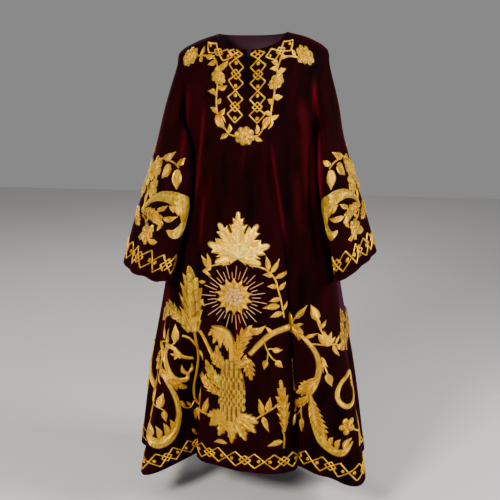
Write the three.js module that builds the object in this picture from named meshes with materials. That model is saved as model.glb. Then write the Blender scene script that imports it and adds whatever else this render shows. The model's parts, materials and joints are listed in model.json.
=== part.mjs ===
// A sakkos: the wide-sleeved tunic of velvet that a bishop wears over his other vestments.
//
// The garment is modelled as it hangs when worn, hollow and with no wearer in it. A front and a
// back panel are joined at the shoulders and down the sides, and a bell sleeve is set into each
// armhole. The neck, the cuffs and the hem are open. The front panel is slit at the neck. Bands of
// satin lining face the inside of the hem and the cuffs, and a facing turns out at one side seam.
//
// Frame: millimetres, +Z up, the front faces -Y, and the wearer's left is +X. The origin is the
// middle of the neck at the height of the shoulder seams, where the wearer's shoulders carry it.
import * as THREE from "three";

// ---------- Driving dimensions ----------
const LENGTH = 1365; // shoulder seam at the neck, down to the hem
const CLOTH = 2.6; // velvet with its interlining
const SATIN = 1.2; // lining satin, doubled at its edge
const SEAM_GAP = 0.4; // between pieces that are sewn together
const SQUARENESS = 2.4; // superellipse power of the body's cross-sections

const SLEEVE_LENGTH = 560; // armhole to cuff
const NECK_HALF_WIDTH = 106;
const FRONT_NECK_DROP = 48;
const BACK_NECK_DROP = 12;
const SHOULDER_TIP_DROP = 58; // where the shoulder seam meets the sleeve
const ARMPIT_DROP = 300;
const ARMHOLE_INSET = 22; // how far the armhole curves into the panel
const RIGHT_SHOULDER_SINK = 12; // how much lower the wearer's right shoulder sits
const SLIT_START_ROW = 3; // row of the chest where the slit begins
const NECK_SHARE = 0.42; // share of a panel's columns that end at the neckline

const SLIT_HALF_GAP = 0.6;
const SLIT_NOTCH = 7; // the slit's corners fall open by this at the neckline
const LINING_WIDTH = 56; // depth of the satin bands inside the hem and the cuffs
const LINING_PEEP = 4; // how far the satin shows below the velvet's edge
const SIDE_FACING = { top: 770, bottom: 960, columns: 2 }; // on the wearer's left, beside the seam

// The body's cross-section at each height, as half its width and its depth before and behind.
const BODY_SECTIONS = [
  { drop: 0, half: 106, front: 70, back: 76 },
  { drop: 12, half: 156, front: 76, back: 82 },
  { drop: 26, half: 190, front: 83, back: 89 },
  { drop: 40, half: 214, front: 88, back: 94 },
  { drop: 58, half: 229, front: 94, back: 99 },
  { drop: 125, half: 221, front: 120, back: 119 },
  { drop: 215, half: 214, front: 141, back: 129 },
  { drop: 300, half: 212, front: 150, back: 131 },
  { drop: 435, half: 224, front: 158, back: 137 },
  { drop: 615, half: 254, front: 174, back: 158 },
  { drop: 825, half: 291, front: 190, back: 188 },
  { drop: 1075, half: 340, front: 203, back: 222 },
  { drop: 1365, half: 383, front: 212, back: 256 },
];

// The folds of the skirt, as troughs that deepen from their start down to the hem, or as flutes
// that swell outwards where the depth is negative. The angle is
// measured round the body from the centre front, towards the wearer's left, in degrees.
// lean is how far the trough has moved round by its top. overlap is how far the cloth beside the
// trough laps over it, towards the wearer's left where it is positive.
const BODY_FOLDS = [
  { name: "right_flute", angle: -44, lean: 0, start: 640, depth: -90, width: 10, overlap: 0, power: 1.3 },
  { name: "right_valley", angle: -28, lean: 3, start: 800, depth: 112, width: 6.5, overlap: -18, power: 1.0 },
  { name: "centre_hollow", angle: -15, lean: 2, start: 560, depth: 40, width: 12, overlap: 0, power: 1.4 },
  { name: "left_valley", angle: 22.5, lean: 4, start: 240, depth: 84, width: 6.5, overlap: 34, power: 1.1 },
  { name: "left_flute", angle: 51, lean: 2, start: 420, depth: -92, width: 14, overlap: 0, power: 1.5 },
  { name: "left_flank", angle: 78, lean: 0, start: 640, depth: 34, width: 7, overlap: 4, power: 1.2 },
  { name: "right_flank", angle: -67, lean: 2, start: 660, depth: 40, width: 8, overlap: -8, power: 1.2 },
  { name: "left_hip", angle: 107, lean: 0, start: 560, depth: 44, width: 9, overlap: 6, power: 1.3 },
  { name: "right_hip", angle: -108, lean: 0, start: 600, depth: 48, width: 9, overlap: -8, power: 1.3 },
  { name: "back_left_far", angle: 132, lean: 2, start: 420, depth: 76, width: 9, overlap: 14, power: 1.4 },
  { name: "back_left", angle: 162, lean: 2, start: 340, depth: 88, width: 9.5, overlap: 12, power: 1.5 },
  { name: "back_right", angle: 199, lean: -3, start: 380, depth: 82, width: 9, overlap: -14, power: 1.5 },
  { name: "back_right_far", angle: 229, lean: -2, start: 450, depth: 70, width: 10, overlap: -10, power: 1.4 },
];

// Where the hem hangs lower than the rest, round the two front flutes.
const HEM_DIPS = [
  { name: "right_flute", angle: -44, width: 10, longer: 10 },
  { name: "left_flute", angle: 51, width: 14, longer: 14 },
];

// Each sleeve as a run of elliptical rings down from the armhole. out and fore place the ring's
// centre to the side and forward. across and deep are its half sizes. turn swings the ring's
// front towards the body, and tip raises its outer side, both in degrees.
const RIGHT_SLEEVE = [
  { at: 0.0, drop: 180, out: 214, fore: 0, across: 60, deep: 84, turn: 0, tip: 78 },
  { at: 0.14, drop: 238, out: 230, fore: 12, across: 72, deep: 94, turn: 12, tip: 64 },
  { at: 0.3, drop: 315, out: 234, fore: 30, across: 50, deep: 112, turn: 30, tip: 30 },
  { at: 0.5, drop: 435, out: 254, fore: 42, across: 54, deep: 134, turn: 32, tip: 18 },
  { at: 0.72, drop: 565, out: 290, fore: 52, across: 61, deep: 150, turn: 32, tip: 12 },
  { at: 0.9, drop: 676, out: 320, fore: 60, across: 66, deep: 160, turn: 30, tip: 9 },
  { at: 1.0, drop: 736, out: 336, fore: 64, across: 68, deep: 164, turn: 28, tip: 7 },
];
const LEFT_SLEEVE = [
  { at: 0.0, drop: 180, out: 214, fore: 0, across: 60, deep: 84, turn: 0, tip: 78 },
  { at: 0.14, drop: 238, out: 228, fore: -2, across: 70, deep: 92, turn: 4, tip: 66 },
  { at: 0.3, drop: 315, out: 236, fore: -4, across: 47, deep: 108, turn: 8, tip: 38 },
  { at: 0.5, drop: 433, out: 257, fore: -4, across: 54, deep: 126, turn: 10, tip: 31 },
  { at: 0.72, drop: 560, out: 292, fore: 0, across: 60, deep: 142, turn: 11, tip: 31 },
  { at: 0.9, drop: 664, out: 318, fore: 6, across: 66, deep: 154, turn: 12, tip: 32 },
  { at: 1.0, drop: 718, out: 331, fore: 10, across: 70, deep: 158, turn: 12, tip: 32 },
];

// Soft troughs down the sleeves. The angle runs round the ring from its outer side to its front.
const RIGHT_SLEEVE_FOLDS = [
  { angle: 52, start: 0.45, depth: 30, width: 15 },
  { angle: 205, start: 0.3, depth: 22, width: 24 },
  { angle: 300, start: 0.4, depth: 26, width: 20 },
];
const LEFT_SLEEVE_FOLDS = [
  { angle: 38, start: 0.5, depth: 24, width: 14 },
  { angle: 150, start: 0.35, depth: 18, width: 20 },
  { angle: 295, start: 0.4, depth: 26, width: 20 },
];
const SLEEVE_BODY_GAP = 7; // the sleeve's outer face stays this far off the body's
const SLEEVE_HEAD = 0.2; // share of the sleeve in which it turns out from the armhole
const SLEEVE_HEAD_SPRING = 14; // least that the sleeve stands out from the armhole by then

// Rows and columns of the walls' faces.
const FRONT_COLUMNS = 42;
const BACK_COLUMNS = 34;
const SKIRT_ROWS = 15;
const CHEST_ROWS = 12;
const SLEEVE_COLUMNS = 2 * CHEST_ROWS; // so that a sleeve meets the armhole point for point
const SLEEVE_ROWS = 15;

const VELVET = new THREE.MeshStandardMaterial({ color: 0x3a0512, roughness: 0.85, metalness: 0 });
const LINING_SATIN = new THREE.MeshStandardMaterial({ color: 0x4b1466, roughness: 0.45, metalness: 0 });

// ---------- Small helpers ----------
const radians = THREE.MathUtils.degToRad;
const lerp = THREE.MathUtils.lerp;
const clamp = THREE.MathUtils.clamp;
const smooth = (x) => THREE.MathUtils.smoothstep(x, 0, 1);
const turnBetween = (angle, from) => THREE.MathUtils.euclideanModulo(angle - from + 180, 360) - 180;
const signedPower = (x, p) => Math.sign(x) * Math.abs(x) ** p;
const range = (n) => Array.from({ length: n }, (_, i) => i);

// Reads a column of a table at any place between its rows, by monotone cubic interpolation.
function reader(table, key) {
  const at = table.map((row) => row[key]);
  const spans = range(at.length - 1).map((i) => at[i + 1] - at[i]);
  return (column, place) => {
    const value = table.map((row) => row[column]);
    const slope = spans.map((span, i) => (value[i + 1] - value[i]) / span);
    const tangent = value.map((_, i) => {
      if (i === 0) return slope[0];
      if (i === slope.length) return slope[i - 1];
      if (slope[i - 1] * slope[i] <= 0) return 0;
      const before = 2 * spans[i] + spans[i - 1];
      const after = spans[i] + 2 * spans[i - 1];
      return (before + after) / (before / slope[i - 1] + after / slope[i]);
    });
    const x = clamp(place, at[0], at[at.length - 1]);
    const i = Math.max(0, at.slice(0, -1).findLastIndex((a) => a <= x));
    const t = (x - at[i]) / spans[i];
    const own = (1 + 2 * t) * (1 - t) ** 2 * value[i] + t * (1 - t) ** 2 * spans[i] * tangent[i];
    const next = t * t * (3 - 2 * t) * value[i + 1] - t * t * (1 - t) * spans[i] * tangent[i + 1];
    return own + next;
  };
}

// ---------- The body's surface ----------
const section = reader(BODY_SECTIONS, "drop");

// A point of the body with no folds, at an angle round it and a drop below the shoulders.
function bodyShell(angle, drop) {
  const across = Math.sin(radians(angle));
  const ahead = Math.cos(radians(angle));
  const depth = section(ahead > 0 ? "front" : "back", drop);
  const power = 2 / SQUARENESS;
  return new THREE.Vector3(
    section("half", drop) * signedPower(across, power),
    -depth * signedPower(ahead, power),
    -drop,
  );
}

// How the folds move a point of the body: inwards down the trough and sideways over its edge.
function bodyPoint(angle, drop) {
  const point = bodyShell(angle, drop);
  const along = bodyShell(angle + 0.7, drop).sub(bodyShell(angle - 0.7, drop)).normalize();
  const inwards = new THREE.Vector3(-along.y, along.x, 0);
  for (const fold of BODY_FOLDS) {
    const grown = clamp((drop - fold.start) / (LENGTH - fold.start), 0, 1);
    if (grown === 0) continue;
    const strength = smooth(Math.min(1, grown * 2.5)) * grown ** fold.power;
    const centre = fold.angle + fold.lean * (1 - grown);
    const t = turnBetween(angle, centre) / fold.width;
    const lapped = fold.overlap < 0 ? -t : t;
    const edge = Math.exp(-(((lapped + 0.85) / 0.6) ** 2)) - 0.6 * Math.exp(-(((lapped - 0.2) / 0.6) ** 2));
    point.addScaledVector(inwards, fold.depth * strength * Math.exp(-t * t));
    point.addScaledVector(along, fold.overlap * strength * edge);
  }
  for (const dip of HEM_DIPS) {
    const t = turnBetween(angle, dip.angle) / dip.width;
    point.z -= dip.longer * smooth(drop / LENGTH) * Math.exp(-t * t);
  }
  return point;
}

// A point of the chest or the upper back, by its distance from the centre line and its drop.
function yokePoint(x, drop, facing) {
  const half = section("half", drop);
  const depth = section(facing < 0 ? "front" : "back", drop);
  const share = Math.min(1, Math.abs(x) / half);
  const sink = RIGHT_SHOULDER_SINK * smooth(-x / 200) * smooth(1 - drop / ARMPIT_DROP);
  return new THREE.Vector3(x, facing * depth * (1 - share ** SQUARENESS) ** (1 / SQUARENESS), -drop - sink);
}

// The armhole's edge, from the armpit at 0 to the tip of the shoulder at 1.
function armholeEdge(climb) {
  const straight = lerp(section("half", ARMPIT_DROP), section("half", SHOULDER_TIP_DROP), climb);
  const inset = ARMHOLE_INSET * Math.sin(Math.PI * climb) ** 1.2;
  return { x: straight - inset, drop: lerp(ARMPIT_DROP, SHOULDER_TIP_DROP, climb) };
}

// How far out a column of the chest lies, so that the columns fan evenly up to the armhole.
function chestWidth(outwards, climb) {
  const edge = armholeEdge(climb);
  const edgeTurn = Math.asin(Math.min(1, edge.x / section("half", edge.drop)) ** (SQUARENESS / 2));
  return edge.x * (Math.sin(outwards * edgeTurn) / Math.sin(edgeTurn)) ** (2 / SQUARENESS);
}

// The panel's top edge, from the centre of the neckline at 0 to the tip of the shoulder at 1.
function topEdge(outwards, neckDrop) {
  if (outwards < NECK_SHARE) {
    const turn = (Math.PI / 2) * (outwards / NECK_SHARE);
    return { x: NECK_HALF_WIDTH * Math.sin(turn), drop: neckDrop * Math.cos(turn) ** 1.3 };
  }
  const along = (outwards - NECK_SHARE) / (1 - NECK_SHARE);
  const drop = SHOULDER_TIP_DROP * along;
  return { x: section("half", drop), drop };
}

// Columns of a panel as shares from -1 to 1 of a quarter turn, drawn together near the folds.
function columnShares(count, firstAngle, centreLine) {
  const density = (share) =>
    BODY_FOLDS.reduce((sum, fold) => {
      const t = turnBetween(firstAngle + 90 * share, fold.angle) / (1.5 * fold.width);
      return sum + (Math.abs(fold.depth) / 40) * Math.exp(-t * t);
    }, 1);
  const fine = 2000;
  const total = [0];
  for (let i = 0; i < fine; i++) total.push(total[i] + density(-1 + (2 * (i + 0.5)) / fine));
  const shares = range(count + 1).map((k) => {
    const wanted = (total[fine] * k) / count;
    return -1 + (2 * total.findIndex((t) => t >= wanted - 1e-9)) / fine;
  });
  if (!centreLine) return shares;
  // The two columns nearest the centre line are put on the edges of the slit.
  const middle = shares.reduce((best, s, i) => (Math.abs(s) < Math.abs(shares[best]) ? i : best), 0);
  const edge = 90 ** -1 * THREE.MathUtils.radToDeg(Math.asin((SLIT_HALF_GAP / 200) ** (SQUARENESS / 2)));
  return [...shares.slice(0, middle), -edge, edge, ...shares.slice(middle + 1)];
}

// Rows from an edge at from up to to. The first row is as deep as the lining, so that the lining
// lies on whole facets of the wall.
const rowsFrom = (from, to, first, count) =>
  [from, ...range(count).map((k) => lerp(first, to, k / (count - 1)))];
const SKIRT_DROPS = rowsFrom(LENGTH, ARMPIT_DROP, LENGTH - LINING_WIDTH, SKIRT_ROWS);
const SLEEVE_PLACES = rowsFrom(1, 0, 1 - LINING_WIDTH / SLEEVE_LENGTH, SLEEVE_ROWS);

// The outer face of a panel as a grid of points, rows from the hem up. facing is -1 for the front.
function panelGrid(facing, shares, neckDrop) {
  const seamShift = (facing * SEAM_GAP) / 2;
  const turned = (share) => (facing < 0 ? 90 * share : 180 - 90 * share);
  const skirt = SKIRT_DROPS.map((drop) => shares.map((share) => bodyPoint(turned(share), drop)));
  const chest = range(CHEST_ROWS).map((k) => {
    const climb = (k + 1) / CHEST_ROWS;
    return shares.map((share) => {
      const outwards = Math.abs(share);
      const top = topEdge(outwards, neckDrop);
      const towardsTop = (top.x - chestWidth(outwards, 1)) * climb ** 2;
      const notch = facing < 0 ? SLIT_NOTCH * climb ** 9 * Math.exp(-((outwards / 0.1) ** 2)) : 0;
      const x = chestWidth(outwards, climb) + towardsTop + notch;
      return yokePoint(Math.sign(share) * x, lerp(ARMPIT_DROP, top.drop, climb), facing);
    });
  });
  const grid = [...skirt, ...chest];
  for (const point of grid.flat()) point.y += seamShift;
  return grid;
}

// ---------- The sleeves' surface ----------
// A point of a sleeve. place runs from the armhole at 0 to the cuff at 1. The angle runs round
// the ring from its outer side, 0, to its front, 90, the armpit, 180, and its back, 270.
function sleevePoint(side, table, folds, angle, place) {
  const ring = reader(table, "at");
  const turn = radians(ring("turn", place));
  const tip = radians(ring("tip", place));
  const forwards = new THREE.Vector3(-side * Math.sin(turn), -Math.cos(turn), 0);
  const level = Math.cos(tip);
  const outwards = new THREE.Vector3(side * Math.cos(turn) * level, -Math.sin(turn) * level, Math.sin(tip));
  const round = radians(angle);
  const spoke = new THREE.Vector3()
    .addScaledVector(outwards, ring("across", place) * Math.cos(round))
    .addScaledVector(forwards, ring("deep", place) * Math.sin(round));
  const point = new THREE.Vector3(side * ring("out", place), -ring("fore", place), -ring("drop", place));
  const inwards = spoke.clone().normalize().negate();
  point.add(spoke);
  for (const fold of folds) {
    const grown = smooth((place - fold.start) / (1 - fold.start));
    const t = turnBetween(angle, fold.angle) / fold.width;
    point.addScaledVector(inwards, fold.depth * grown * Math.exp(-t * t));
  }
  const free = smooth(place / SLEEVE_HEAD);
  if (free < 1) {
    const climb = angle <= 180 ? 1 - angle / 180 : angle / 180 - 1;
    const edge = armholeEdge(climb);
    const start = yokePoint(side * edge.x, edge.drop, angle <= 180 ? -1 : 1);
    start.x += side * SEAM_GAP;
    point.lerp(start, 1 - free);
    point.x = side * Math.max(side * point.x, side * start.x + SLEEVE_HEAD_SPRING * free);
  }
  if (place > 0) clearOfBody(point, lerp(SEAM_GAP, SLEEVE_BODY_GAP, free));
  return point;
}

// Moves a point of a sleeve out of the body, to where the cloth rests against its side.
function clearOfBody(point, gap) {
  const drop = clamp(-point.z, 0, LENGTH);
  const half = section("half", drop) + gap;
  const depth = section(point.y < 0 ? "front" : "back", drop) + gap;
  const powers = Math.abs(point.x / half) ** SQUARENESS + Math.abs(point.y / depth) ** SQUARENESS;
  if (powers >= 1) return;
  point.x /= powers ** (1 / SQUARENESS);
  point.y /= powers ** (1 / SQUARENESS);
}

// The outer face of a sleeve as a grid of points. Rows run from the cuff up, and columns the way
// round that turns the faces out.
function sleeveGrid(side, table, folds) {
  return SLEEVE_PLACES.map((place) =>
    range(SLEEVE_COLUMNS).map((j) => {
      const share = j / SLEEVE_COLUMNS;
      const angle = 360 * (side > 0 ? 1 - share : share);
      return sleevePoint(side, table, folds, angle % 360, place);
    }),
  );
}

// ---------- Walls ----------
// The outward normal at each point of a grid, from its neighbours.
function gridNormals(grid, closed) {
  const rows = grid.length;
  const columns = grid[0].length;
  return grid.map((row, i) =>
    row.map((_, j) => {
      const left = closed ? grid[i][(j + columns - 1) % columns] : grid[i][Math.max(0, j - 1)];
      const right = closed ? grid[i][(j + 1) % columns] : grid[i][Math.min(columns - 1, j + 1)];
      const above = grid[Math.min(rows - 1, i + 1)][j];
      const below = grid[Math.max(0, i - 1)][j];
      return right.clone().sub(left).cross(above.clone().sub(below)).normalize();
    }),
  );
}

const offsetGrid = (grid, normals, distance) =>
  grid.map((row, i) => row.map((point, j) => point.clone().addScaledVector(normals[i][j], distance)));

// A closed wall between an outer and an inner grid. Cells that are not kept leave an opening.
function wallGeometry(outer, inner, closed, keep = () => true) {
  const rows = outer.length;
  const columns = outer[0].length;
  const cells = closed ? columns : columns - 1;
  const points = [...outer.flat(), ...inner.flat()];
  const index = [];
  const id = (i, j, layer) => layer * rows * columns + i * columns + (j % columns);
  const kept = (i, j) => {
    if (i < 0 || i >= rows - 1) return false;
    if (!closed && (j < 0 || j >= cells)) return false;
    return keep(i, (j + cells) % cells);
  };
  const quad = (a, b, c, d) => index.push(a, b, c, a, c, d);
  for (let i = 0; i < rows - 1; i++) {
    for (let j = 0; j < cells; j++) {
      if (!kept(i, j)) continue;
      quad(id(i, j, 0), id(i, j + 1, 0), id(i + 1, j + 1, 0), id(i + 1, j, 0));
      quad(id(i, j, 1), id(i + 1, j, 1), id(i + 1, j + 1, 1), id(i, j + 1, 1));
      if (!kept(i - 1, j)) quad(id(i, j, 1), id(i, j + 1, 1), id(i, j + 1, 0), id(i, j, 0));
      if (!kept(i + 1, j)) quad(id(i + 1, j, 0), id(i + 1, j + 1, 0), id(i + 1, j + 1, 1), id(i + 1, j, 1));
      if (!kept(i, j - 1)) quad(id(i, j, 0), id(i + 1, j, 0), id(i + 1, j, 1), id(i, j, 1));
      if (!kept(i, j + 1)) quad(id(i, j + 1, 1), id(i + 1, j + 1, 1), id(i + 1, j + 1, 0), id(i, j + 1, 0));
    }
  }
  const used = [...new Set(index)];
  const renumbered = new Map(used.map((old, fresh) => [old, fresh]));
  const geometry = new THREE.BufferGeometry();
  const positions = used.flatMap((old) => points[old].toArray());
  geometry.setAttribute("position", new THREE.Float32BufferAttribute(positions, 3));
  geometry.setIndex(index.map((old) => renumbered.get(old)));
  geometry.computeVertexNormals();
  return geometry;
}

function piece(name, geometry, material) {
  const mesh = new THREE.Mesh(geometry, material);
  mesh.name = name;
  return mesh;
}

function wall(name, grid, normals, thickness, material, closed = false, keep = undefined) {
  const inner = offsetGrid(grid, normals, -thickness);
  return piece(name, wallGeometry(grid, inner, closed, keep), material);
}

// Flattens a normal on one axis, so that two walls sewn together lie face to face at the seam.
const flatten = (normal, axis) => normal.setComponent(axis, 0).normalize();

function panelNormals(grid, shares) {
  const normals = gridNormals(grid, false);
  const last = shares.length - 1;
  for (const row of normals.slice(0, SKIRT_ROWS + 1)) {
    flatten(row[0], 1);
    flatten(row[last], 1);
  }
  normals[normals.length - 1].forEach((normal, j) => {
    if (Math.abs(shares[j]) >= NECK_SHARE) flatten(normal, 1);
  });
  return normals;
}

function sleeveNormals(grid) {
  const normals = gridNormals(grid, true);
  normals[normals.length - 1].forEach((normal) => flatten(normal, 0));
  return normals;
}

// The first row of a wall, drawn out below its edge by a distance.
const drawnOut = (grid, distance) =>
  grid[0].map((point, j) => {
    const downwards = point.clone().sub(grid[1][j]).normalize();
    return point.clone().addScaledVector(downwards, distance);
  });

// A satin band inside a wall's lower edge, made from the wall's own points.
function lining(name, grid, normals, closed) {
  const outer = offsetGrid(grid.slice(0, 2), normals, -(CLOTH + SEAM_GAP));
  const inner = offsetGrid(grid.slice(0, 2), normals, -(CLOTH + SEAM_GAP + SATIN));
  const lower = (layer) => [drawnOut(layer, LINING_PEEP), ...layer];
  return piece(name, wallGeometry(lower(outer), lower(inner), closed), LINING_SATIN);
}

// ---------- The garment ----------
const garment = new THREE.Group();
garment.name = "sakkos";

const frontShares = columnShares(FRONT_COLUMNS, 0, true);
const frontGrid = panelGrid(-1, frontShares, FRONT_NECK_DROP);
const frontNormals = panelNormals(frontGrid, frontShares);
const slitColumn = frontShares.findIndex((share) => share > 0) - 1;
const slitBottom = SKIRT_ROWS + SLIT_START_ROW;
const belowSlit = (i, j) => j !== slitColumn || i < slitBottom;
garment.add(wall("front_panel", frontGrid, frontNormals, CLOTH, VELVET, false, belowSlit));
garment.add(lining("hem_lining_front", frontGrid, frontNormals, false));

const backShares = columnShares(BACK_COLUMNS, 180, false).map((share) => -share);
const backGrid = panelGrid(1, backShares, BACK_NECK_DROP);
const backNormals = panelNormals(backGrid, backShares);
garment.add(wall("back_panel", backGrid, backNormals, CLOTH, VELVET));
garment.add(lining("hem_lining_back", backGrid, backNormals, false));

// The side facing turns out over the back panel, beside the seam at the wearer's left.
const isFaced = (_, i) => SKIRT_DROPS[i] >= SIDE_FACING.top && SKIRT_DROPS[i] <= SIDE_FACING.bottom;
const besideSeam = (grid) => grid.filter(isFaced).map((row) => row.slice(0, SIDE_FACING.columns + 1));
const facingOuter = besideSeam(offsetGrid(backGrid, backNormals, SEAM_GAP + SATIN));
const facingInner = besideSeam(offsetGrid(backGrid, backNormals, SEAM_GAP));
garment.add(piece("side_facing_left", wallGeometry(facingOuter, facingInner, false), LINING_SATIN));

const SLEEVES = [
  { name: "right", side: -1, table: RIGHT_SLEEVE, folds: RIGHT_SLEEVE_FOLDS },
  { name: "left", side: 1, table: LEFT_SLEEVE, folds: LEFT_SLEEVE_FOLDS },
];
for (const { name, side, table, folds } of SLEEVES) {
  const grid = sleeveGrid(side, table, folds);
  const normals = sleeveNormals(grid);
  garment.add(wall("sleeve_" + name, grid, normals, CLOTH, VELVET, true));
  garment.add(lining("cuff_lining_" + name, grid, normals, true));
}

export default garment;
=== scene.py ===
# %% [markdown]
# # A sakkos of burgundy velvet, sewn with gold
# A sakkos is the wide tunic that a bishop wears over his other vestments. This one hangs hollow,
# as it would on a wearer. The lesson builds it in the order a workshop would: the cloth first,
# then the satin at its edges, and last the raised gold work that lies on the velvet. Every
# length below is in millimetres, and it is turned into metres at the moment a mesh is made.

# %% Tools and the frame
import json
import math

import bpy
import numpy as np
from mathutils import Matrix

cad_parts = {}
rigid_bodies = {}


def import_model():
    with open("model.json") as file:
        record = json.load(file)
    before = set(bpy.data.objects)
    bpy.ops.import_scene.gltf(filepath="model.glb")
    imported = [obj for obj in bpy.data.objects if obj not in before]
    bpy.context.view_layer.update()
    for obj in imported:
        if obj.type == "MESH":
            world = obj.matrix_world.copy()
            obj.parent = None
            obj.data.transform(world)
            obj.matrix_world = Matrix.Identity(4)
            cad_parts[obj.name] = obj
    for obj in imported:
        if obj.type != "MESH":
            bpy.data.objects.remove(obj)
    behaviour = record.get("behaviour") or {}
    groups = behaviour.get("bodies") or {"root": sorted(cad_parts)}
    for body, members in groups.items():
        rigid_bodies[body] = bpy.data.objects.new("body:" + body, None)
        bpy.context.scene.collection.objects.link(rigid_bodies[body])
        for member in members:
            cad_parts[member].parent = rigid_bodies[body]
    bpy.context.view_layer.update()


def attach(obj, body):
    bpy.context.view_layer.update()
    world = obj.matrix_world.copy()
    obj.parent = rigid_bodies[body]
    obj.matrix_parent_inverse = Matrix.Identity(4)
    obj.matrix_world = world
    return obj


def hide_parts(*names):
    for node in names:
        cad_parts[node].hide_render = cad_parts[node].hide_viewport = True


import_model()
MM = 0.001

# %% [markdown]
# ## The camera and the light
# A garment reads best from a little above and a little to one side. The camera stands about
# three metres off, turned a few degrees towards the wearer's left. Three soft lamps and a pale
# room light it the way a studio would: velvet needs light from the side to show its pile.

# %% Camera
CAMERA_TURN = math.radians(7.0)
CAMERA_AWAY = 2.775
CAMERA_HEIGHT = 0.056
CAMERA_SLIDE = -0.009
LOOK_AT_HEIGHT = -0.684
FRAME_PIXELS = 500
FOCAL_PIXELS = 890
SENSOR = 36.0

ahead = np.array([-math.sin(CAMERA_TURN), math.cos(CAMERA_TURN), 0.0])
rightwards = np.array([math.cos(CAMERA_TURN), math.sin(CAMERA_TURN), 0.0])
camera_place = -CAMERA_AWAY * ahead + CAMERA_SLIDE * rightwards + np.array([0, 0, CAMERA_HEIGHT])
camera_dip = math.atan2(CAMERA_HEIGHT - LOOK_AT_HEIGHT, CAMERA_AWAY)

camera_data = bpy.data.cameras.new("camera")
camera_data.sensor_width = SENSOR
camera_data.lens = SENSOR * FOCAL_PIXELS / FRAME_PIXELS
camera = bpy.data.objects.new("camera", camera_data)
camera.location = camera_place
camera.rotation_euler = (math.pi / 2 - camera_dip, 0, CAMERA_TURN)
bpy.context.scene.collection.objects.link(camera)
bpy.context.scene.camera = camera
print("lens in millimetres:", round(camera_data.lens, 1))

# %% Studio light and floor
FLOOR_HEIGHT = -1.5
FLOOR_LEFT, FLOOR_RIGHT, FLOOR_NEAR, FLOOR_FAR = -6, 6, -4, 5
FLOOR_GREY = 0.55
FLOOR_ROUGHNESS = 0.9
ROOM_GREY = 0.5
ROOM_STRENGTH = 0.52


def lamp(name, place, aim, size, power, colour):
    """A soft square lamp that points at a place."""
    data = bpy.data.lights.new(name, "AREA")
    data.size = size
    data.energy = power
    data.color = colour
    lamp_object = bpy.data.objects.new(name, data)
    lamp_object.location = place
    direction = np.array(aim) - np.array(place)
    flat = math.hypot(direction[0], direction[1])
    lamp_object.rotation_euler = (math.pi / 2 - math.atan2(-direction[2], flat), 0, 0)
    lamp_object.rotation_euler.z = math.atan2(-direction[0], direction[1])
    bpy.context.scene.collection.objects.link(lamp_object)


lamp("key_lamp", (-1.5, -2.9, 1.0), (0, 0, -0.7), 0.9, 215, (1.0, 0.94, 0.86))
lamp("side_lamp", (2.7, -0.4, 0.5), (0.1, 0, -0.6), 0.9, 120, (1.0, 0.95, 0.92))
lamp("rim_lamp", (-1.6, 2.4, 1.4), (0, 0, -0.6), 1.2, 34, (1.0, 0.97, 0.95))

world = bpy.data.worlds.new("studio")
world.use_nodes = True
world.node_tree.nodes["Background"].inputs["Color"].default_value = (*[ROOM_GREY] * 3, 1)
world.node_tree.nodes["Background"].inputs["Strength"].default_value = ROOM_STRENGTH
bpy.context.scene.world = world

floor_mesh = bpy.data.meshes.new("studio_floor")
floor_corners = (
    (FLOOR_LEFT, FLOOR_NEAR), (FLOOR_RIGHT, FLOOR_NEAR), (FLOOR_RIGHT, FLOOR_FAR),
    (FLOOR_LEFT, FLOOR_FAR),
)
floor_mesh.from_pydata([(*corner, FLOOR_HEIGHT) for corner in floor_corners], [], [(0, 1, 2, 3)])
floor = bpy.data.objects.new("studio_floor", floor_mesh)
bpy.context.scene.collection.objects.link(floor)
floor_material = bpy.data.materials.new("studio_paper")
floor_material.use_nodes = True
floor_shader = floor_material.node_tree.nodes["Principled BSDF"]
floor_shader.inputs["Base Color"].default_value = (*[FLOOR_GREY] * 3, 1)
floor_shader.inputs["Roughness"].default_value = FLOOR_ROUGHNESS
floor_mesh.materials.append(floor_material)

# %% [markdown]
# ## The form of the cloth
# The garment's form is a run of rounded cross-sections, each as wide and as deep as the body is
# at that height, and the skirt's folds are troughs and flutes that grow towards the hem. A
# formula is a better start than a simulation here, because the folds have known places. The
# sizes are those of the solid model, and the surface is only drawn more finely.

# %% The body's measures
LENGTH = 1365
SQUARENESS = 2.4
NECK_HALF_WIDTH = 106
FRONT_NECK_DROP = 48
BACK_NECK_DROP = 12
SHOULDER_TIP_DROP = 58
ARMPIT_DROP = 300
ARMHOLE_INSET = 22
RIGHT_SHOULDER_SINK = 12
NECK_SHARE = 0.42
NECK_ROUNDNESS, ARMHOLE_ROUNDNESS = 1.3, 1.2
SLIT_HALF_GAP = 0.6
SLIT_NOTCH = 7
SEAM_GAP = 0.05

BODY_SECTIONS = dict(
    drop=[0, 12, 26, 40, 58, 125, 215, 300, 435, 615, 825, 1075, 1365],
    half=[106, 156, 190, 214, 229, 221, 214, 212, 224, 254, 291, 340, 383],
    front=[70, 76, 83, 88, 94, 120, 141, 150, 158, 174, 190, 203, 212],
    back=[76, 82, 89, 94, 99, 119, 129, 131, 137, 158, 188, 222, 256],
)
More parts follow.
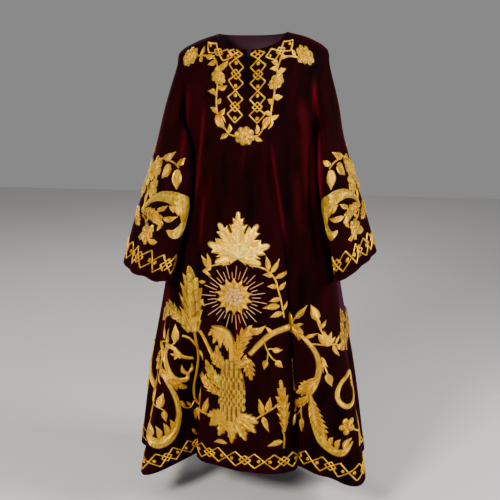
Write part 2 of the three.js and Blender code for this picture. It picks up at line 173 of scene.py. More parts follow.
# Each fold: angle round the body, lean, drop where it starts, depth, width, overlap, power.
BODY_FOLDS = dict(
    right_flute=(-44, 0, 640, -90, 10, 0, 1.3),
    right_valley=(-28, 3, 800, 112, 6.5, -18, 1.0),
    centre_hollow=(-15, 2, 560, 40, 12, 0, 1.4),
    left_valley=(22.5, 4, 240, 84, 6.5, 34, 1.1),
    left_flute=(51, 2, 420, -92, 14, 0, 1.5),
    left_flank=(78, 0, 640, 34, 7, 4, 1.2),
    right_flank=(-67, 2, 660, 40, 8, -8, 1.2),
    left_hip=(107, 0, 560, 44, 9, 6, 1.3),
    right_hip=(-108, 0, 600, 48, 9, -8, 1.3),
    back_left_far=(132, 2, 420, 76, 9, 14, 1.4),
    back_left=(162, 2, 340, 88, 9.5, 12, 1.5),
    back_right=(199, -3, 380, 82, 9, -14, 1.5),
    back_right_far=(229, -2, 450, 70, 10, -10, 1.4),
)
# How soon a fold is fully formed, and where its overlap bulges and tucks in, in fold widths.
FOLD_ONSET = 2.5
LIP_AT, TUCK_AT, LIP_WIDTH, TUCK_SHARE = -0.85, 0.2, 0.6, 0.6
# Where the hem hangs lower: angle, width, how much lower.
HEM_DIPS = dict(right_flute=(-44, 10, 10), left_flute=(51, 14, 14))
print("folds round the body:", len(BODY_FOLDS))


# %% Reading a table between its rows
def smooth(x):
    """Eases from 0 to 1 as x goes from 0 to 1."""
    x = np.clip(x, 0, 1)
    return x * x * (3 - 2 * x)


def between_rows(places, values, at):
    """Monotone cubic interpolation, so that a table's curve never overshoots its rows."""
    places = np.asarray(places, float)
    values = np.asarray(values, float)
    spans = np.diff(places)
    slope = np.diff(values) / spans
    tangent = np.zeros(len(places))
    tangent[0], tangent[-1] = slope[0], slope[-1]
    for i in range(1, len(slope)):
        if slope[i - 1] * slope[i] > 0:
            before = 2 * spans[i] + spans[i - 1]
            after = spans[i] + 2 * spans[i - 1]
            tangent[i] = (before + after) / (before / slope[i - 1] + after / slope[i])
    x = np.clip(at, places[0], places[-1])
    i = np.clip(np.searchsorted(places, x, side="right") - 1, 0, len(spans) - 1)
    t = (x - places[i]) / spans[i]
    own = (1 + 2 * t) * (1 - t) ** 2 * values[i] + t * (1 - t) ** 2 * spans[i] * tangent[i]
    return own + t * t * (3 - 2 * t) * values[i + 1] - t * t * (1 - t) * spans[i] * tangent[i + 1]


def section(column, drop):
    """A measure of the body's cross-section at a drop below the shoulders."""
    return between_rows(BODY_SECTIONS["drop"], BODY_SECTIONS[column], drop)


def turn_between(angle, start):
    """The turn from one angle to another, the short way round."""
    return (angle - start + 180) % 360 - 180


print("half width at the armpits:", round(float(section("half", ARMPIT_DROP))))


# %% The body's surface
def body_shell(angle, drop):
    """A point of the body with no folds."""
    across, front = np.sin(np.radians(angle)), np.cos(np.radians(angle))
    depth = np.where(front > 0, section("front", drop), section("back", drop))
    power = 2 / SQUARENESS
    x = section("half", drop) * np.sign(across) * np.abs(across) ** power
    y = -depth * np.sign(front) * np.abs(front) ** power
    return np.stack([x, y, -drop + 0 * x], -1)


def unit(vectors):
    """Vectors drawn to a length of one."""
    return vectors / np.maximum(np.linalg.norm(vectors, axis=-1, keepdims=True), 1e-9)


def body_point(angle, drop):
    """A point of the body with its folds."""
    angle, drop = np.broadcast_arrays(np.asarray(angle, float), np.asarray(drop, float))
    point = body_shell(angle, drop)
    along = unit(body_shell(angle + 0.7, drop) - body_shell(angle - 0.7, drop))
    inwards = np.stack([-along[..., 1], along[..., 0], 0 * drop], -1)
    for centre, lean, start, depth, width, overlap, power in BODY_FOLDS.values():
        grown = np.clip((drop - start) / (LENGTH - start), 0, 1)
        strength = smooth(np.minimum(1, grown * FOLD_ONSET)) * grown**power
        t = turn_between(angle, centre + lean * (1 - grown)) / width
        lapped = -t if overlap < 0 else t
        lip = np.exp(-(((lapped - LIP_AT) / LIP_WIDTH) ** 2))
        tuck = np.exp(-(((lapped - TUCK_AT) / LIP_WIDTH) ** 2))
        point = point + inwards * (depth * strength * np.exp(-t * t))[..., None]
        point = point + along * (overlap * strength * (lip - TUCK_SHARE * tuck))[..., None]
    for centre, width, longer in HEM_DIPS.values():
        t = turn_between(angle, centre) / width
        point[..., 2] -= longer * smooth(drop / LENGTH) * np.exp(-t * t)
    return point


def yoke_point(x, drop, facing):
    """A point of the chest (facing -1) or the upper back (facing 1)."""
    depth = section("front" if facing < 0 else "back", drop)
    share = np.minimum(1, np.abs(x) / section("half", drop))
    sink = RIGHT_SHOULDER_SINK * smooth(-x / 200) * smooth(1 - drop / ARMPIT_DROP)
    y = facing * depth * (1 - share**SQUARENESS) ** (1 / SQUARENESS)
    return np.stack([x, y, -drop - sink], -1)


def armhole_edge(climb):
    """How far out and how far down the armhole's edge is, from armpit (0) to shoulder (1)."""
    low, high = section("half", ARMPIT_DROP), section("half", SHOULDER_TIP_DROP)
    inset = ARMHOLE_INSET * np.sin(np.pi * np.clip(climb, 0, 1)) ** ARMHOLE_ROUNDNESS
    drop = ARMPIT_DROP + (SHOULDER_TIP_DROP - ARMPIT_DROP) * climb
    return low + (high - low) * climb - inset, drop


def chest_width(outwards, climb):
    """How far out a column of the chest lies, fanning evenly up to the armhole."""
    edge, drop = armhole_edge(climb)
    turn = np.arcsin(np.minimum(1, edge / section("half", drop)) ** (SQUARENESS / 2))
    return edge * (np.sin(outwards * turn) / np.sin(turn)) ** (2 / SQUARENESS)


def top_edge(outwards, neck_drop):
    """The panel's top edge, from the neckline's middle to the tip of the shoulder."""
    turn = np.pi / 2 * np.minimum(1, outwards / NECK_SHARE)
    along = np.maximum(0, (outwards - NECK_SHARE) / (1 - NECK_SHARE))
    shoulder = SHOULDER_TIP_DROP * along
    in_neck = outwards < NECK_SHARE
    x = np.where(in_neck, NECK_HALF_WIDTH * np.sin(turn), section("half", shoulder))
    return x, np.where(in_neck, neck_drop * np.abs(np.cos(turn)) ** NECK_ROUNDNESS, shoulder)


print("hem at the centre front:", np.round(body_point(0, LENGTH), 0))

# %% The sleeves' surface
SLEEVE_BODY_GAP = 7
SLEEVE_HEAD = 0.2
SLEEVE_HEAD_SPRING = 14
SLEEVE_LENGTH = 560

# Rings from the armhole (at 0) to the cuff (at 1), and soft troughs: angle, start, depth, width.
SLEEVES = dict(
    right=dict(
        side=-1,
        rings=dict(
            at=[0, 0.14, 0.3, 0.5, 0.72, 0.9, 1.0],
            drop=[180, 238, 315, 435, 565, 676, 736],
            out=[214, 230, 234, 254, 290, 320, 336],
            fore=[0, 12, 30, 42, 52, 60, 64],
            across=[60, 72, 50, 54, 61, 66, 68],
            deep=[84, 94, 112, 134, 150, 160, 164],
            turn=[0, 12, 30, 32, 32, 30, 28],
            tip=[78, 64, 30, 18, 12, 9, 7],
        ),
        folds=dict(front=(52, 0.45, 30, 15), inner=(205, 0.3, 22, 24), back=(300, 0.4, 26, 20)),
    ),
    left=dict(
        side=1,
        rings=dict(
            at=[0, 0.14, 0.3, 0.5, 0.72, 0.9, 1.0],
            drop=[180, 238, 315, 433, 560, 664, 718],
            out=[214, 228, 236, 257, 292, 318, 331],
            fore=[0, -2, -4, -4, 0, 6, 10],
            across=[60, 70, 47, 54, 60, 66, 70],
            deep=[84, 92, 108, 126, 142, 154, 158],
            turn=[0, 4, 8, 10, 11, 12, 12],
            tip=[78, 66, 38, 31, 31, 32, 32],
        ),
        folds=dict(front=(38, 0.5, 24, 14), inner=(150, 0.35, 18, 20), back=(295, 0.4, 26, 20)),
    ),
)


def clear_of_body(point, gap):
    """Moves points out to where a sleeve rests against the side of the body."""
    x, y, drop = point[..., 0], point[..., 1], np.clip(-point[..., 2], 0, LENGTH)
    half = section("half", drop) + gap
    depth = np.where(y < 0, section("front", drop), section("back", drop)) + gap
    powers = np.abs(x / half) ** SQUARENESS + np.abs(y / depth) ** SQUARENESS
    out = np.where(powers < 1, np.maximum(powers, 1e-9) ** (-1 / SQUARENESS), 1)
    return point * np.stack([out, out, np.ones_like(out)], -1)


def sleeve_point(sleeve, angle, place):
    """A point of a sleeve: outer side 0, front 90, armpit 180, back 270 degrees."""
    angle, place = np.broadcast_arrays(np.asarray(angle, float) % 360, np.asarray(place, float))
    rings, side = sleeve["rings"], sleeve["side"]
    ring = {column: between_rows(rings["at"], rings[column], place) for column in rings}
    turn, tip, around = np.radians(ring["turn"]), np.radians(ring["tip"]), np.radians(angle)
    fore = np.stack([-side * np.sin(turn), -np.cos(turn), 0 * turn], -1)
    level = np.cos(tip)
    out = np.stack([side * np.cos(turn) * level, -np.sin(turn) * level, np.sin(tip)], -1)
    across, deep = ring["across"] * np.cos(around), ring["deep"] * np.sin(around)
    spoke = out * across[..., None] + fore * deep[..., None]
    point = np.stack([side * ring["out"], -ring["fore"], -ring["drop"]], -1) + spoke
    for centre, start, depth, width in sleeve["folds"].values():
        t = turn_between(angle, centre) / width
        pressed = depth * smooth((place - start) / (1 - start)) * np.exp(-t * t)
        point = point - unit(spoke) * pressed[..., None]
    free = smooth(place / SLEEVE_HEAD)
    climb = np.where(angle <= 180, 1 - angle / 180, angle / 180 - 1)
    edge, drop = armhole_edge(climb)
    front_start = yoke_point(side * edge, drop, -1)
    start_point = np.where((angle <= 180)[..., None], front_start, yoke_point(side * edge, drop, 1))
    start_point[..., 0] += side * SEAM_GAP
    point = point + (start_point - point) * (1 - free)[..., None]
    spring = side * start_point[..., 0] + SLEEVE_HEAD_SPRING * free
    least = np.where(free < 1, np.maximum(side * point[..., 0], spring), side * point[..., 0])
    point = np.stack([side * least, point[..., 1], point[..., 2]], -1)
    gap = SEAM_GAP + (SLEEVE_BODY_GAP - SEAM_GAP) * free
    cleared = clear_of_body(point, gap)
    return np.where((place > 0)[..., None], cleared, point)


print("right cuff's front edge:", np.round(sleeve_point(SLEEVES["right"], 90, 1.0)))

# %% [markdown]
# ## Small creases
# Worn velvet is never smooth between its folds. Soft creases run down from the chest into the
# skirt's folds, across the elbow of each sleeve, and down the back. They are placed one by one,
# each with its own length, depth and width, because a regular ripple would look like corrugated
# card.

# %% Creases in the body and the sleeves
# Each crease: angle and drop where it starts, angle and drop where it ends, depth, width.
BODY_CREASES = dict(
    into_left_valley=(12, 250, 20, 700, 9, 4.2),
    beside_left_valley=(17, 330, 25, 620, -6, 3.2),
    left_chest=(44, 190, 40, 560, 8, 5.5),
    left_ribs=(58, 330, 50, 720, 7, 5),
    right_chest=(-30, 260, -25, 700, 8, 4.5),
    right_chest_ridge=(-36, 330, -30, 640, -6, 3.6),
    right_ribs=(-52, 240, -48, 620, 8, 6),
    right_side=(-64, 360, -58, 840, 7, 5),
    centre_soft=(-6, 430, -7, 980, 5, 5),
    centre_low=(6, 700, 4, 1300, 6, 4),
    left_edge_ridge=(64, 210, 56, 660, -7, 3.4),
    fine_right=(-46, 150, -39, 560, -3.0, 1.7),
    fine_right_middle=(-15, 330, -11, 640, -2.4, 1.4),
    fine_middle=(8, 320, 13, 660, -2.8, 1.5),
    fine_left_middle=(31, 180, 30, 660, -3.2, 1.7),
    fine_left=(53, 120, 47, 540, -3.6, 1.9),
    fine_hip=(-28, 640, -31, 1010, -2.8, 1.6),
    left_low=(40, 800, 38, 1365, 12, 4.5),
    right_low=(-51, 760, -53, 1365, 11, 4),
    left_side=(86, 420, 84, 1100, 8, 5),
    back_left_blade=(146, 150, 150, 620, 9, 6),
    back_middle=(181, 260, 179, 900, 7, 6),
    back_right_blade=(216, 170, 209, 600, 8, 6),
    back_low=(178, 900, 181, 1365, 16, 6),
    back_left_hip=(119, 480, 118, 1200, 9, 5),
    back_right_hip=(243, 500, 246, 1250, 9, 5),
)
SLEEVE_CREASES = dict(
    elbow_front=(110, 0.34, 62, 0.62, 7, 14),
    elbow_outer=(30, 0.30, 350, 0.60, 6, 13),
    upper_front=(95, 0.10, 70, 0.42, 5, 12),
    upper_back=(260, 0.12, 300, 0.46, 6, 14),
    cuff_outer=(8, 0.62, 2, 1.0, 8, 11),
    cuff_front=(84, 0.66, 96, 1.0, 7, 10),
    cuff_back=(250, 0.6, 256, 1.0, 8, 12),
)


# The parts of a crease's length over which it fades in and out.
CREASE_FADE_IN, CREASE_FADE_OUT = 0.35, 0.3


def crease_depth(creases, angle, along):
    """How deep the creases press the cloth in at an angle and a distance along."""
    depth = np.zeros(np.broadcast(angle, along).shape)
    for angle_from, from_, angle_to, to, most, width in creases.values():
        share = (along - from_) / (to - from_)
        fade_in = smooth(share / CREASE_FADE_IN)
        fade_out = smooth((1 - share) / CREASE_FADE_OUT) if to not in (LENGTH, 1.0) else 1.0
        centre = angle_from + turn_between(angle_to, angle_from) * np.clip(share, 0, 1)
        t = turn_between(angle, centre) / width
        depth = depth + most * fade_in * fade_out * np.exp(-t * t)
    return depth


print("creases:", len(BODY_CREASES) + 2 * len(SLEEVE_CREASES))

# %% [markdown]
# ## Panels that can be sewn on
# Each panel is a grid of points. The grid also keeps the cloth's flat measures: how far round a
# point is, and how far down. With those, a motif can be drawn flat, as an embroiderer draws it
# on stretched velvet, and then laid on the folded cloth, where it follows every crease.


# %% Grids of points
def grid_normals(grid, closed):
    """The outward normal at each point of a grid whose rows run upwards."""
    if closed:
        right, left = np.roll(grid, -1, 1), np.roll(grid, 1, 1)
    else:
        right = np.concatenate([grid[:, 1:], grid[:, -1:]], 1)
        left = np.concatenate([grid[:, :1], grid[:, :-1]], 1)
    above = np.concatenate([grid[1:], grid[-1:]])
    below = np.concatenate([grid[:1], grid[:-1]])
    return unit(np.cross(right - left, above - below))


RULER_STEP = 2.0


class Panel:
    """A piece of cloth: its points, its normals, and its flat measures."""

    def __init__(self, grid, normals, downs, middle, closed=False):
        self.grid, self.normals, self.downs, self.closed = grid, normals, downs, closed
        if closed:
            grid = np.concatenate([grid, grid[:, :1]], 1)
            normals = np.concatenate([normals, normals[:, :1]], 1)
        self.sample_points, self.sample_normals = grid, normals
        steps = np.linalg.norm(np.diff(grid, axis=1), axis=-1)
        across = np.concatenate([np.zeros((len(grid), 1)), np.cumsum(steps, 1)], 1)
        self.across = across - across[:, middle : middle + 1]
        reach = np.abs(self.across).max() + 5
        self.ruler = np.arange(-reach, reach, RULER_STEP)
        columns = np.arange(grid.shape[1])
        self.column_at = np.array([np.interp(self.ruler, row, columns) for row in self.across])

    def lay(self, x, y, height):
        """Points of a flat drawing, x across and y down, laid on the cloth at a height above it."""
        rows = np.interp(y, self.downs[::-1], np.arange(len(self.downs))[::-1])
        if self.closed:
            first = np.interp(rows, np.arange(len(self.downs)), self.across[:, 0])
            last = np.interp(rows, np.arange(len(self.downs)), self.across[:, -1])
            x = first + np.mod(x - first, last - first)
        columns = bilinear(self.column_at, rows, (x - self.ruler[0]) / RULER_STEP)
        point = bilinear(self.sample_points, rows, columns)
        return point + unit(bilinear(self.sample_normals, rows, columns)) * height[..., None]


def bilinear(table, row, column):
    """Reads a table between its rows and its columns."""
    r = np.clip(row.astype(int), 0, table.shape[0] - 2)
    c = np.clip(column.astype(int), 0, table.shape[1] - 2)
    v, u = np.clip(row - r, 0, 1), np.clip(column - c, 0, 1)
    if table.ndim == 3:
        v, u = v[..., None], u[..., None]
    low = table[r, c] * (1 - u) + table[r, c + 1] * u
    return low * (1 - v) + (table[r + 1, c] * (1 - u) + table[r + 1, c + 1] * u) * v


# %% Body panels
FRONT_COLUMNS = 200
BACK_COLUMNS = 126
SKIRT_ROWS = 90
CHEST_ROWS = 48
SHARE_SAMPLES = 4001
# How far round a fold the columns draw together, in fold widths, and the depth that doubles them.
FOLD_REACH, DOUBLING_DEPTH = 1.5, 40
# Creases fade over this share of a quarter turn at the seams, and over this drop at the neck.
SEAM_FADE, NECK_FADE = 0.04, 40


def column_shares(count, first_angle, centre_line):
    """Columns as shares of a quarter turn each way, drawn together near the folds."""
    share = np.linspace(-1, 1, SHARE_SAMPLES)
    density = np.ones_like(share)
    for centre, _, _, depth, width, _, _ in BODY_FOLDS.values():
        t = turn_between(first_angle + 90 * share, centre) / (FOLD_REACH * width)
        density += abs(depth) / DOUBLING_DEPTH * np.exp(-t * t)
    total = np.concatenate([[0], np.cumsum((density[1:] + density[:-1]) / 2)])
    shares = np.interp(np.linspace(0, total[-1], count + 1), total, share)
    if centre_line:
        middle = np.argmin(np.abs(shares))
        edge = math.degrees(math.asin((SLIT_HALF_GAP / 200) ** (SQUARENESS / 2))) / 90
        shares = np.concatenate([shares[:middle], [-edge, edge], shares[middle + 1 :]])
    return shares


def body_panel(facing, shares, neck_drop):
    """The front (facing -1) or back (facing 1) panel, rows from the hem up."""
    turned = 90 * shares if facing < 0 else 180 - 90 * shares
    skirt_drops = np.linspace(LENGTH, ARMPIT_DROP, SKIRT_ROWS + 1)
    skirt = body_point(turned[None, :], skirt_drops[:, None])
    climb = (np.arange(CHEST_ROWS)[:, None] + 1) / CHEST_ROWS
    outwards = np.abs(shares)[None, :]
    top_x, top_drop = top_edge(outwards, neck_drop)
    notch = SLIT_NOTCH * climb**9 * np.exp(-((outwards / 0.1) ** 2)) if facing < 0 else 0
    x = chest_width(outwards, climb) + (top_x - chest_width(outwards, 1.0)) * climb**2 + notch
    chest = yoke_point(np.sign(shares) * x, ARMPIT_DROP + (top_drop - ARMPIT_DROP) * climb, facing)
    grid = np.concatenate([skirt, chest])
    grid[..., 1] += facing * SEAM_GAP / 2
    downs = np.concatenate([skirt_drops, ARMPIT_DROP + (neck_drop - ARMPIT_DROP) * climb[:, 0]])
    from_seam = smooth((1 - np.abs(shares)) / SEAM_FADE)[None, :]
    from_edges = from_seam * smooth((downs - neck_drop) / NECK_FADE)[:, None]
    pressed = crease_depth(BODY_CREASES, turned[None, :], downs[:, None]) * from_edges
    grid = grid - grid_normals(grid, False) * pressed[..., None]
    normals = grid_normals(grid, False)
    normals[:, 0, 1] = normals[:, -1, 1] = 0
    normals[-1, outwards[0] >= NECK_SHARE, 1] = 0
    middle = int(np.argmin(np.abs(shares)))
    return Panel(grid, unit(normals), downs, middle)


front_shares = column_shares(FRONT_COLUMNS, 0, True)
front = body_panel(-1, front_shares, FRONT_NECK_DROP)
back_shares = -column_shares(BACK_COLUMNS, 180, False)
back = body_panel(1, back_shares, BACK_NECK_DROP)
print("flat width of the front's hem:", round(float(np.ptp(front.across[0]))), "mm")
print("flat width of the back's hem:", round(float(np.ptp(back.across[0]))), "mm")

# %% Sleeve tubes
SLEEVE_COLUMNS = 132
SLEEVE_ROWS = 84
EASING_ROUNDS = 40
# The sleeve's head is eased up to this place along it, and the easing ends over this much.
EASED_TO, EASED_OVER = 0.42, 0.14
ARMHOLE_FADE = 0.12


def sleeve_panel(sleeve):
    """A sleeve as a tube, rows from the cuff up, columns the way round that faces out."""
    places = np.linspace(1, 0, SLEEVE_ROWS + 1)
    share = np.arange(SLEEVE_COLUMNS) / SLEEVE_COLUMNS
    angles = 270 - sleeve["side"] * 360 * share
    grid = sleeve_point(sleeve, angles[None, :], places[:, None])
    near_armhole = smooth((EASED_TO - places) / EASED_OVER)[1:-1, None, None]
    for _ in range(EASING_ROUNDS):
        beside = np.roll(grid, 1, 1) + np.roll(grid, -1, 1)
        eased = (beside[1:-1] + grid[2:] + grid[:-2]) / 4
        grid[1:-1] += (eased - grid[1:-1]) * near_armhole
        grid[1:-1] = clear_of_body(grid[1:-1], SEAM_GAP + (SLEEVE_BODY_GAP - SEAM_GAP) * 0.5)
    pressed = crease_depth(SLEEVE_CREASES, angles[None, :], places[:, None])
    pressed = pressed * smooth(places / ARMHOLE_FADE)[:, None]
    grid = grid - grid_normals(grid, True) * pressed[..., None]
    normals = grid_normals(grid, True)
    normals[-1, :, 0] = 0
    middle = int(np.argmin(np.abs(turn_between(angles, 60))))
    return Panel(grid, unit(normals), places * SLEEVE_LENGTH, middle, closed=True)


sleeves = {name: sleeve_panel(sleeve) for name, sleeve in SLEEVES.items()}
for name, panel in sleeves.items():
    print(name, "cuff's way round:", round(float(np.ptp(panel.across[0]))), "mm")


# %% [markdown]
# ## Colours and surfaces
# Velvet looks almost black face on, and it shines crimson where it turns away, because its pile
# catches light along the edge of each fold. So it has a dark base and a crimson sheen. Along a
# few fold lines a painted crimson highlight is also mixed into its base colour, so those lights
# are painted in and stay put when the lamps move. The gold is thread, not metal: bundles of
# threads laid side by side, with fine stripes across each shape. A bump of stripes along the
# stitches gives that. The same stripes serve the gold, the silk and the satin, so they are one
# shared group of shader nodes. Some gold is painted light: a darker gold stands for shade, and
# two lighter golds stand for highlights.


# %% Shared effects as node groups
def effect(name, inputs, outputs):
    """An empty shader node group with named inputs (kind, default) and outputs."""
    group = bpy.data.node_groups.new(name, "ShaderNodeTree")
    for label, (kind, default) in inputs.items():
        socket = group.interface.new_socket(label, in_out="INPUT", socket_type=kind)
        socket.default_value = default
    for label, kind in outputs.items():
        group.interface.new_socket(label, in_out="OUTPUT", socket_type=kind)
    return group, group.nodes.new("NodeGroupInput"), group.nodes.new("NodeGroupOutput")


def node(tree, kind, **settings):
    """A node with its properties and its unlinked inputs set."""
    made = tree.nodes.new(kind)
    for key, value in settings.items():
        if key in made.inputs:
            made.inputs[key].default_value = value
        else:
            setattr(made, key.lower(), value)
    return made


def join(tree, start, output, end, entry):
    """Links one node's output to another's input, each by its name or number."""
    tree.links.new(start.outputs[output], end.inputs[entry])


FLOAT = "NodeSocketFloat"
VECTOR = "NodeSocketVector"
COLOUR = "NodeSocketColor"
# The stitches' depth in metres, the part of the noise that tints, and how the mottle is drawn out.
STITCH_DEPTH = 0.0006
MOTTLE_FROM, MOTTLE_TO = 0.35, 0.65
MOTTLE_STRETCH = (1, 1, 0.3)

stitches, given, result = effect(
    "stitches",
    {"Threads": (FLOAT, 0.8), "Slant": (FLOAT, 6.0), "Relief": (FLOAT, 0.5)},
    {"Normal": VECTOR},
)
place = node(stitches, "ShaderNodeTexCoord")
parts = node(stitches, "ShaderNodeSeparateXYZ")
join(stitches, place, "UV", parts, 0)
outwards = node(stitches, "ShaderNodeMath", operation="ABSOLUTE")
join(stitches, parts, "Y", outwards, 0)
slanted = node(stitches, "ShaderNodeMath", operation="MULTIPLY_ADD")
join(stitches, outwards, 0, slanted, 0)
join(stitches, given, "Slant", slanted, 1)
join(stitches, parts, "X", slanted, 2)
threads = node(stitches, "ShaderNodeMath", operation="MULTIPLY")
join(stitches, slanted, 0, threads, 0)
join(stitches, given, "Threads", threads, 1)
wave = node(stitches, "ShaderNodeMath", operation="SINE")
join(stitches, threads, 0, wave, 0)
lifted = node(stitches, "ShaderNodeMath", operation="MULTIPLY_ADD")
lifted.inputs[1].default_value = lifted.inputs[2].default_value = 0.5
join(stitches, wave, 0, lifted, 0)
bump = node(stitches, "ShaderNodeBump", Distance=STITCH_DEPTH)
join(stitches, lifted, 0, bump, "Height")
join(stitches, given, "Relief", bump, "Strength")
join(stitches, bump, "Normal", result, "Normal")
print("stitches:", len(stitches.nodes), "nodes")

mottle, given, result = effect(
    "mottle",
    {"Size": (FLOAT, 60.0), "Low": (COLOUR, (0, 0, 0, 1)), "High": (COLOUR, (1, 1, 1, 1))},
    {"Colour": COLOUR},
)
place = node(mottle, "ShaderNodeTexCoord")
noise = node(mottle, "ShaderNodeTexNoise", Detail=3.0)
drawn_out = node(mottle, "ShaderNodeMapping", Scale=MOTTLE_STRETCH)
join(mottle, place, "Object", drawn_out, "Vector")
join(mottle, drawn_out, 0, noise, "Vector")
join(mottle, given, "Size", noise, "Scale")
spread = node(mottle, "ShaderNodeMapRange")
spread.inputs["From Min"].default_value = MOTTLE_FROM
spread.inputs["From Max"].default_value = MOTTLE_TO
join(mottle, noise, 0, spread, "Value")
mix = node(mottle, "ShaderNodeMix", data_type="RGBA")
join(mottle, spread, 0, mix, "Factor")
join(mottle, given, "Low", mix, 6)
join(mottle, given, "High", mix, 7)
join(mottle, mix, 2, result, "Colour")
print("mottle:", len(mottle.nodes), "nodes")


# %% Materials
def material(name, colour, stitch=(), **values):
    """A material with constant values on its own shader, a mottled colour and a stitch.

    colour is its dark and its light colour and the mottle's size; stitch is threads, slant, relief.
    """
    made = bpy.data.materials.new(name)
    made.use_nodes = True
    tree = made.node_tree
    shader = tree.nodes["Principled BSDF"]
    for key, value in values.items():
        shader.inputs[key.replace("_", " ")].default_value = value
    low, high, size = colour
    tint = node(tree, "ShaderNodeGroup", node_tree=mottle)
    tint.inputs["Size"].default_value = size
    tint.inputs["Low"].default_value = (*low, 1)
    tint.inputs["High"].default_value = (*high, 1)
    join(tree, tint, "Colour", shader, "Base Color")
    if stitch:
        thread = node(tree, "ShaderNodeGroup", node_tree=stitches)
        for label, value in zip(("Threads", "Slant", "Relief"), stitch):
            thread.inputs[label].default_value = value
        join(tree, thread, "Normal", shader, "Normal")
    return made


VELVET = material(
    "velvet",
    ((0.0028, 0.0, 0.0001), (0.0115, 0.0001, 0.0006), 17.0),
    Roughness=0.9,
    Specular_IOR_Level=0.03,
    Sheen_Weight=0.48,
    Sheen_Roughness=0.2,
    Sheen_Tint=(0.74, 0.006, 0.060, 1),
)
SATIN = material(
    "satin", ((0.026, 0.0005, 0.016), (0.045, 0.001, 0.028), 20.0), (0.9, 0.0, 0.12),
    Roughness=0.55, Specular_IOR_Level=0.08,
)
GOLD = material(
    "gold_satin_stitch",
    ((0.68, 0.33, 0.008), (0.98, 0.57, 0.022), 75.0),
    (2.4, 5.0, 0.7),
    Metallic=0.88,
    Roughness=0.3,
)
PURL = material(
    "gold_purl", ((0.58, 0.25, 0.003), (1.0, 0.72, 0.05), 190.0), (2.4, 6.0, 1.0), Metallic=0.66,
    Roughness=0.28,
)
PALE = material(
    "pale_silk", ((0.52, 0.23, 0.06), (0.72, 0.36, 0.12), 120.0), (2.4, 5.0, 0.6), Roughness=0.5,
    Sheen_Weight=0.2,
)
# Painted highlight: a lighter gold stands for the highlights on the vine leaf, the roses' hearts
# and the plume's rib.
PAINTED_HIGHLIGHT_GOLD = material(
    "painted_highlight_gold", ((0.96, 0.50, 0.012), (1.0, 0.65, 0.035), 70.0), (2.4, 5.0, 0.5), Metallic=0.7,
    Roughness=0.25,
)
# Painted highlight: a pale gold for the bright lights along the vine leaf's ribs.
PAINTED_RIB_HIGHLIGHT = material(
    "painted_rib_highlight", ((1.0, 0.66, 0.10), (1.0, 0.78, 0.20), 90.0), (2.4, 5.0, 0.5), Metallic=0.5,
    Roughness=0.2,
)
# Painted shade: this dark gold lies under and between the raised shapes, so their outlines, veins
# and gaps look shaded.
PAINTED_SHADE_GOLD = material(
    "painted_shade_gold", ((0.12, 0.050, 0.006), (0.30, 0.14, 0.018), 160.0), (2.2, 6.0, 0.6), Metallic=0.6,
    Roughness=0.5,
)
LINING = material("lining", ((0.022, 0.002, 0.010), (0.034, 0.004, 0.016), 12.0), Roughness=0.6)
# Painted highlight: along a few fold lines the velvet's base colour is mixed towards crimson,
# so these crimson lights are painted in and do not follow the lamps.
PAINTED_CRIMSON_HIGHLIGHT = (0.085, 0.0012, 0.006, 1)
tree = VELVET.node_tree
pile = tree.nodes["Principled BSDF"]
# Painted highlight: the mask of crimson lines is read from a vertex attribute here.
turned = node(tree, "ShaderNodeAttribute", attribute_name="painted_highlight")
blend = node(tree, "ShaderNodeMix", data_type="RGBA")
join(tree, turned, "Fac", blend, "Factor")
tree.links.new(pile.inputs["Base Color"].links[0].from_socket, blend.inputs[6])
blend.inputs[7].default_value = PAINTED_CRIMSON_HIGHLIGHT
join(tree, blend, 2, pile, "Base Color")
print("materials:", [m.name for m in bpy.data.materials])

# %% [markdown]
# ## The velvet and its lining
# Each panel becomes a thin closed wall: velvet outside, lining inside. A wall with a real
# thickness shows its edge at the hem, at the neck and along the front slit, as cut and turned
# cloth does.


# %% Thin walls
SHARP_FROM = math.radians(50)


def mesh_object(
    name, points, faces, materials, face_material=None, uvs=None, smooth_edges=SHARP_FROM,
):
    """A mesh in metres from points in millimetres, smooth except where faces turn sharply."""
    data = bpy.data.meshes.new(name)
    data.from_pydata((points * MM).tolist(), [], faces.tolist())
    for made in materials:
        data.materials.append(made)
    data.polygons.foreach_set("use_smooth", np.ones(len(data.polygons), bool))
    if face_material is not None:
        data.polygons.foreach_set("material_index", face_material.astype(np.int32))
    if uvs is not None:
        layer = data.uv_layers.new(name="flat")
        corners = np.empty(len(data.loops), np.int32)
        data.loops.foreach_get("vertex_index", corners)
        layer.data.foreach_set("uv", uvs[corners].astype(np.float32).ravel())
    if smooth_edges:
        data.set_sharp_from_angle(angle=smooth_edges)
    data.update()
    made = bpy.data.objects.new(name, data)
    bpy.context.scene.collection.objects.link(made)
    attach(made, "root")
    return made


def grid_quads(index, closed):
    """The quads of a grid of vertex numbers."""
    right = np.roll(index, -1, 1) if closed else index[:, 1:]
    left = index if closed else index[:, :-1]
    return np.stack([left[:-1], right[:-1], right[1:], left[1:]], -1)


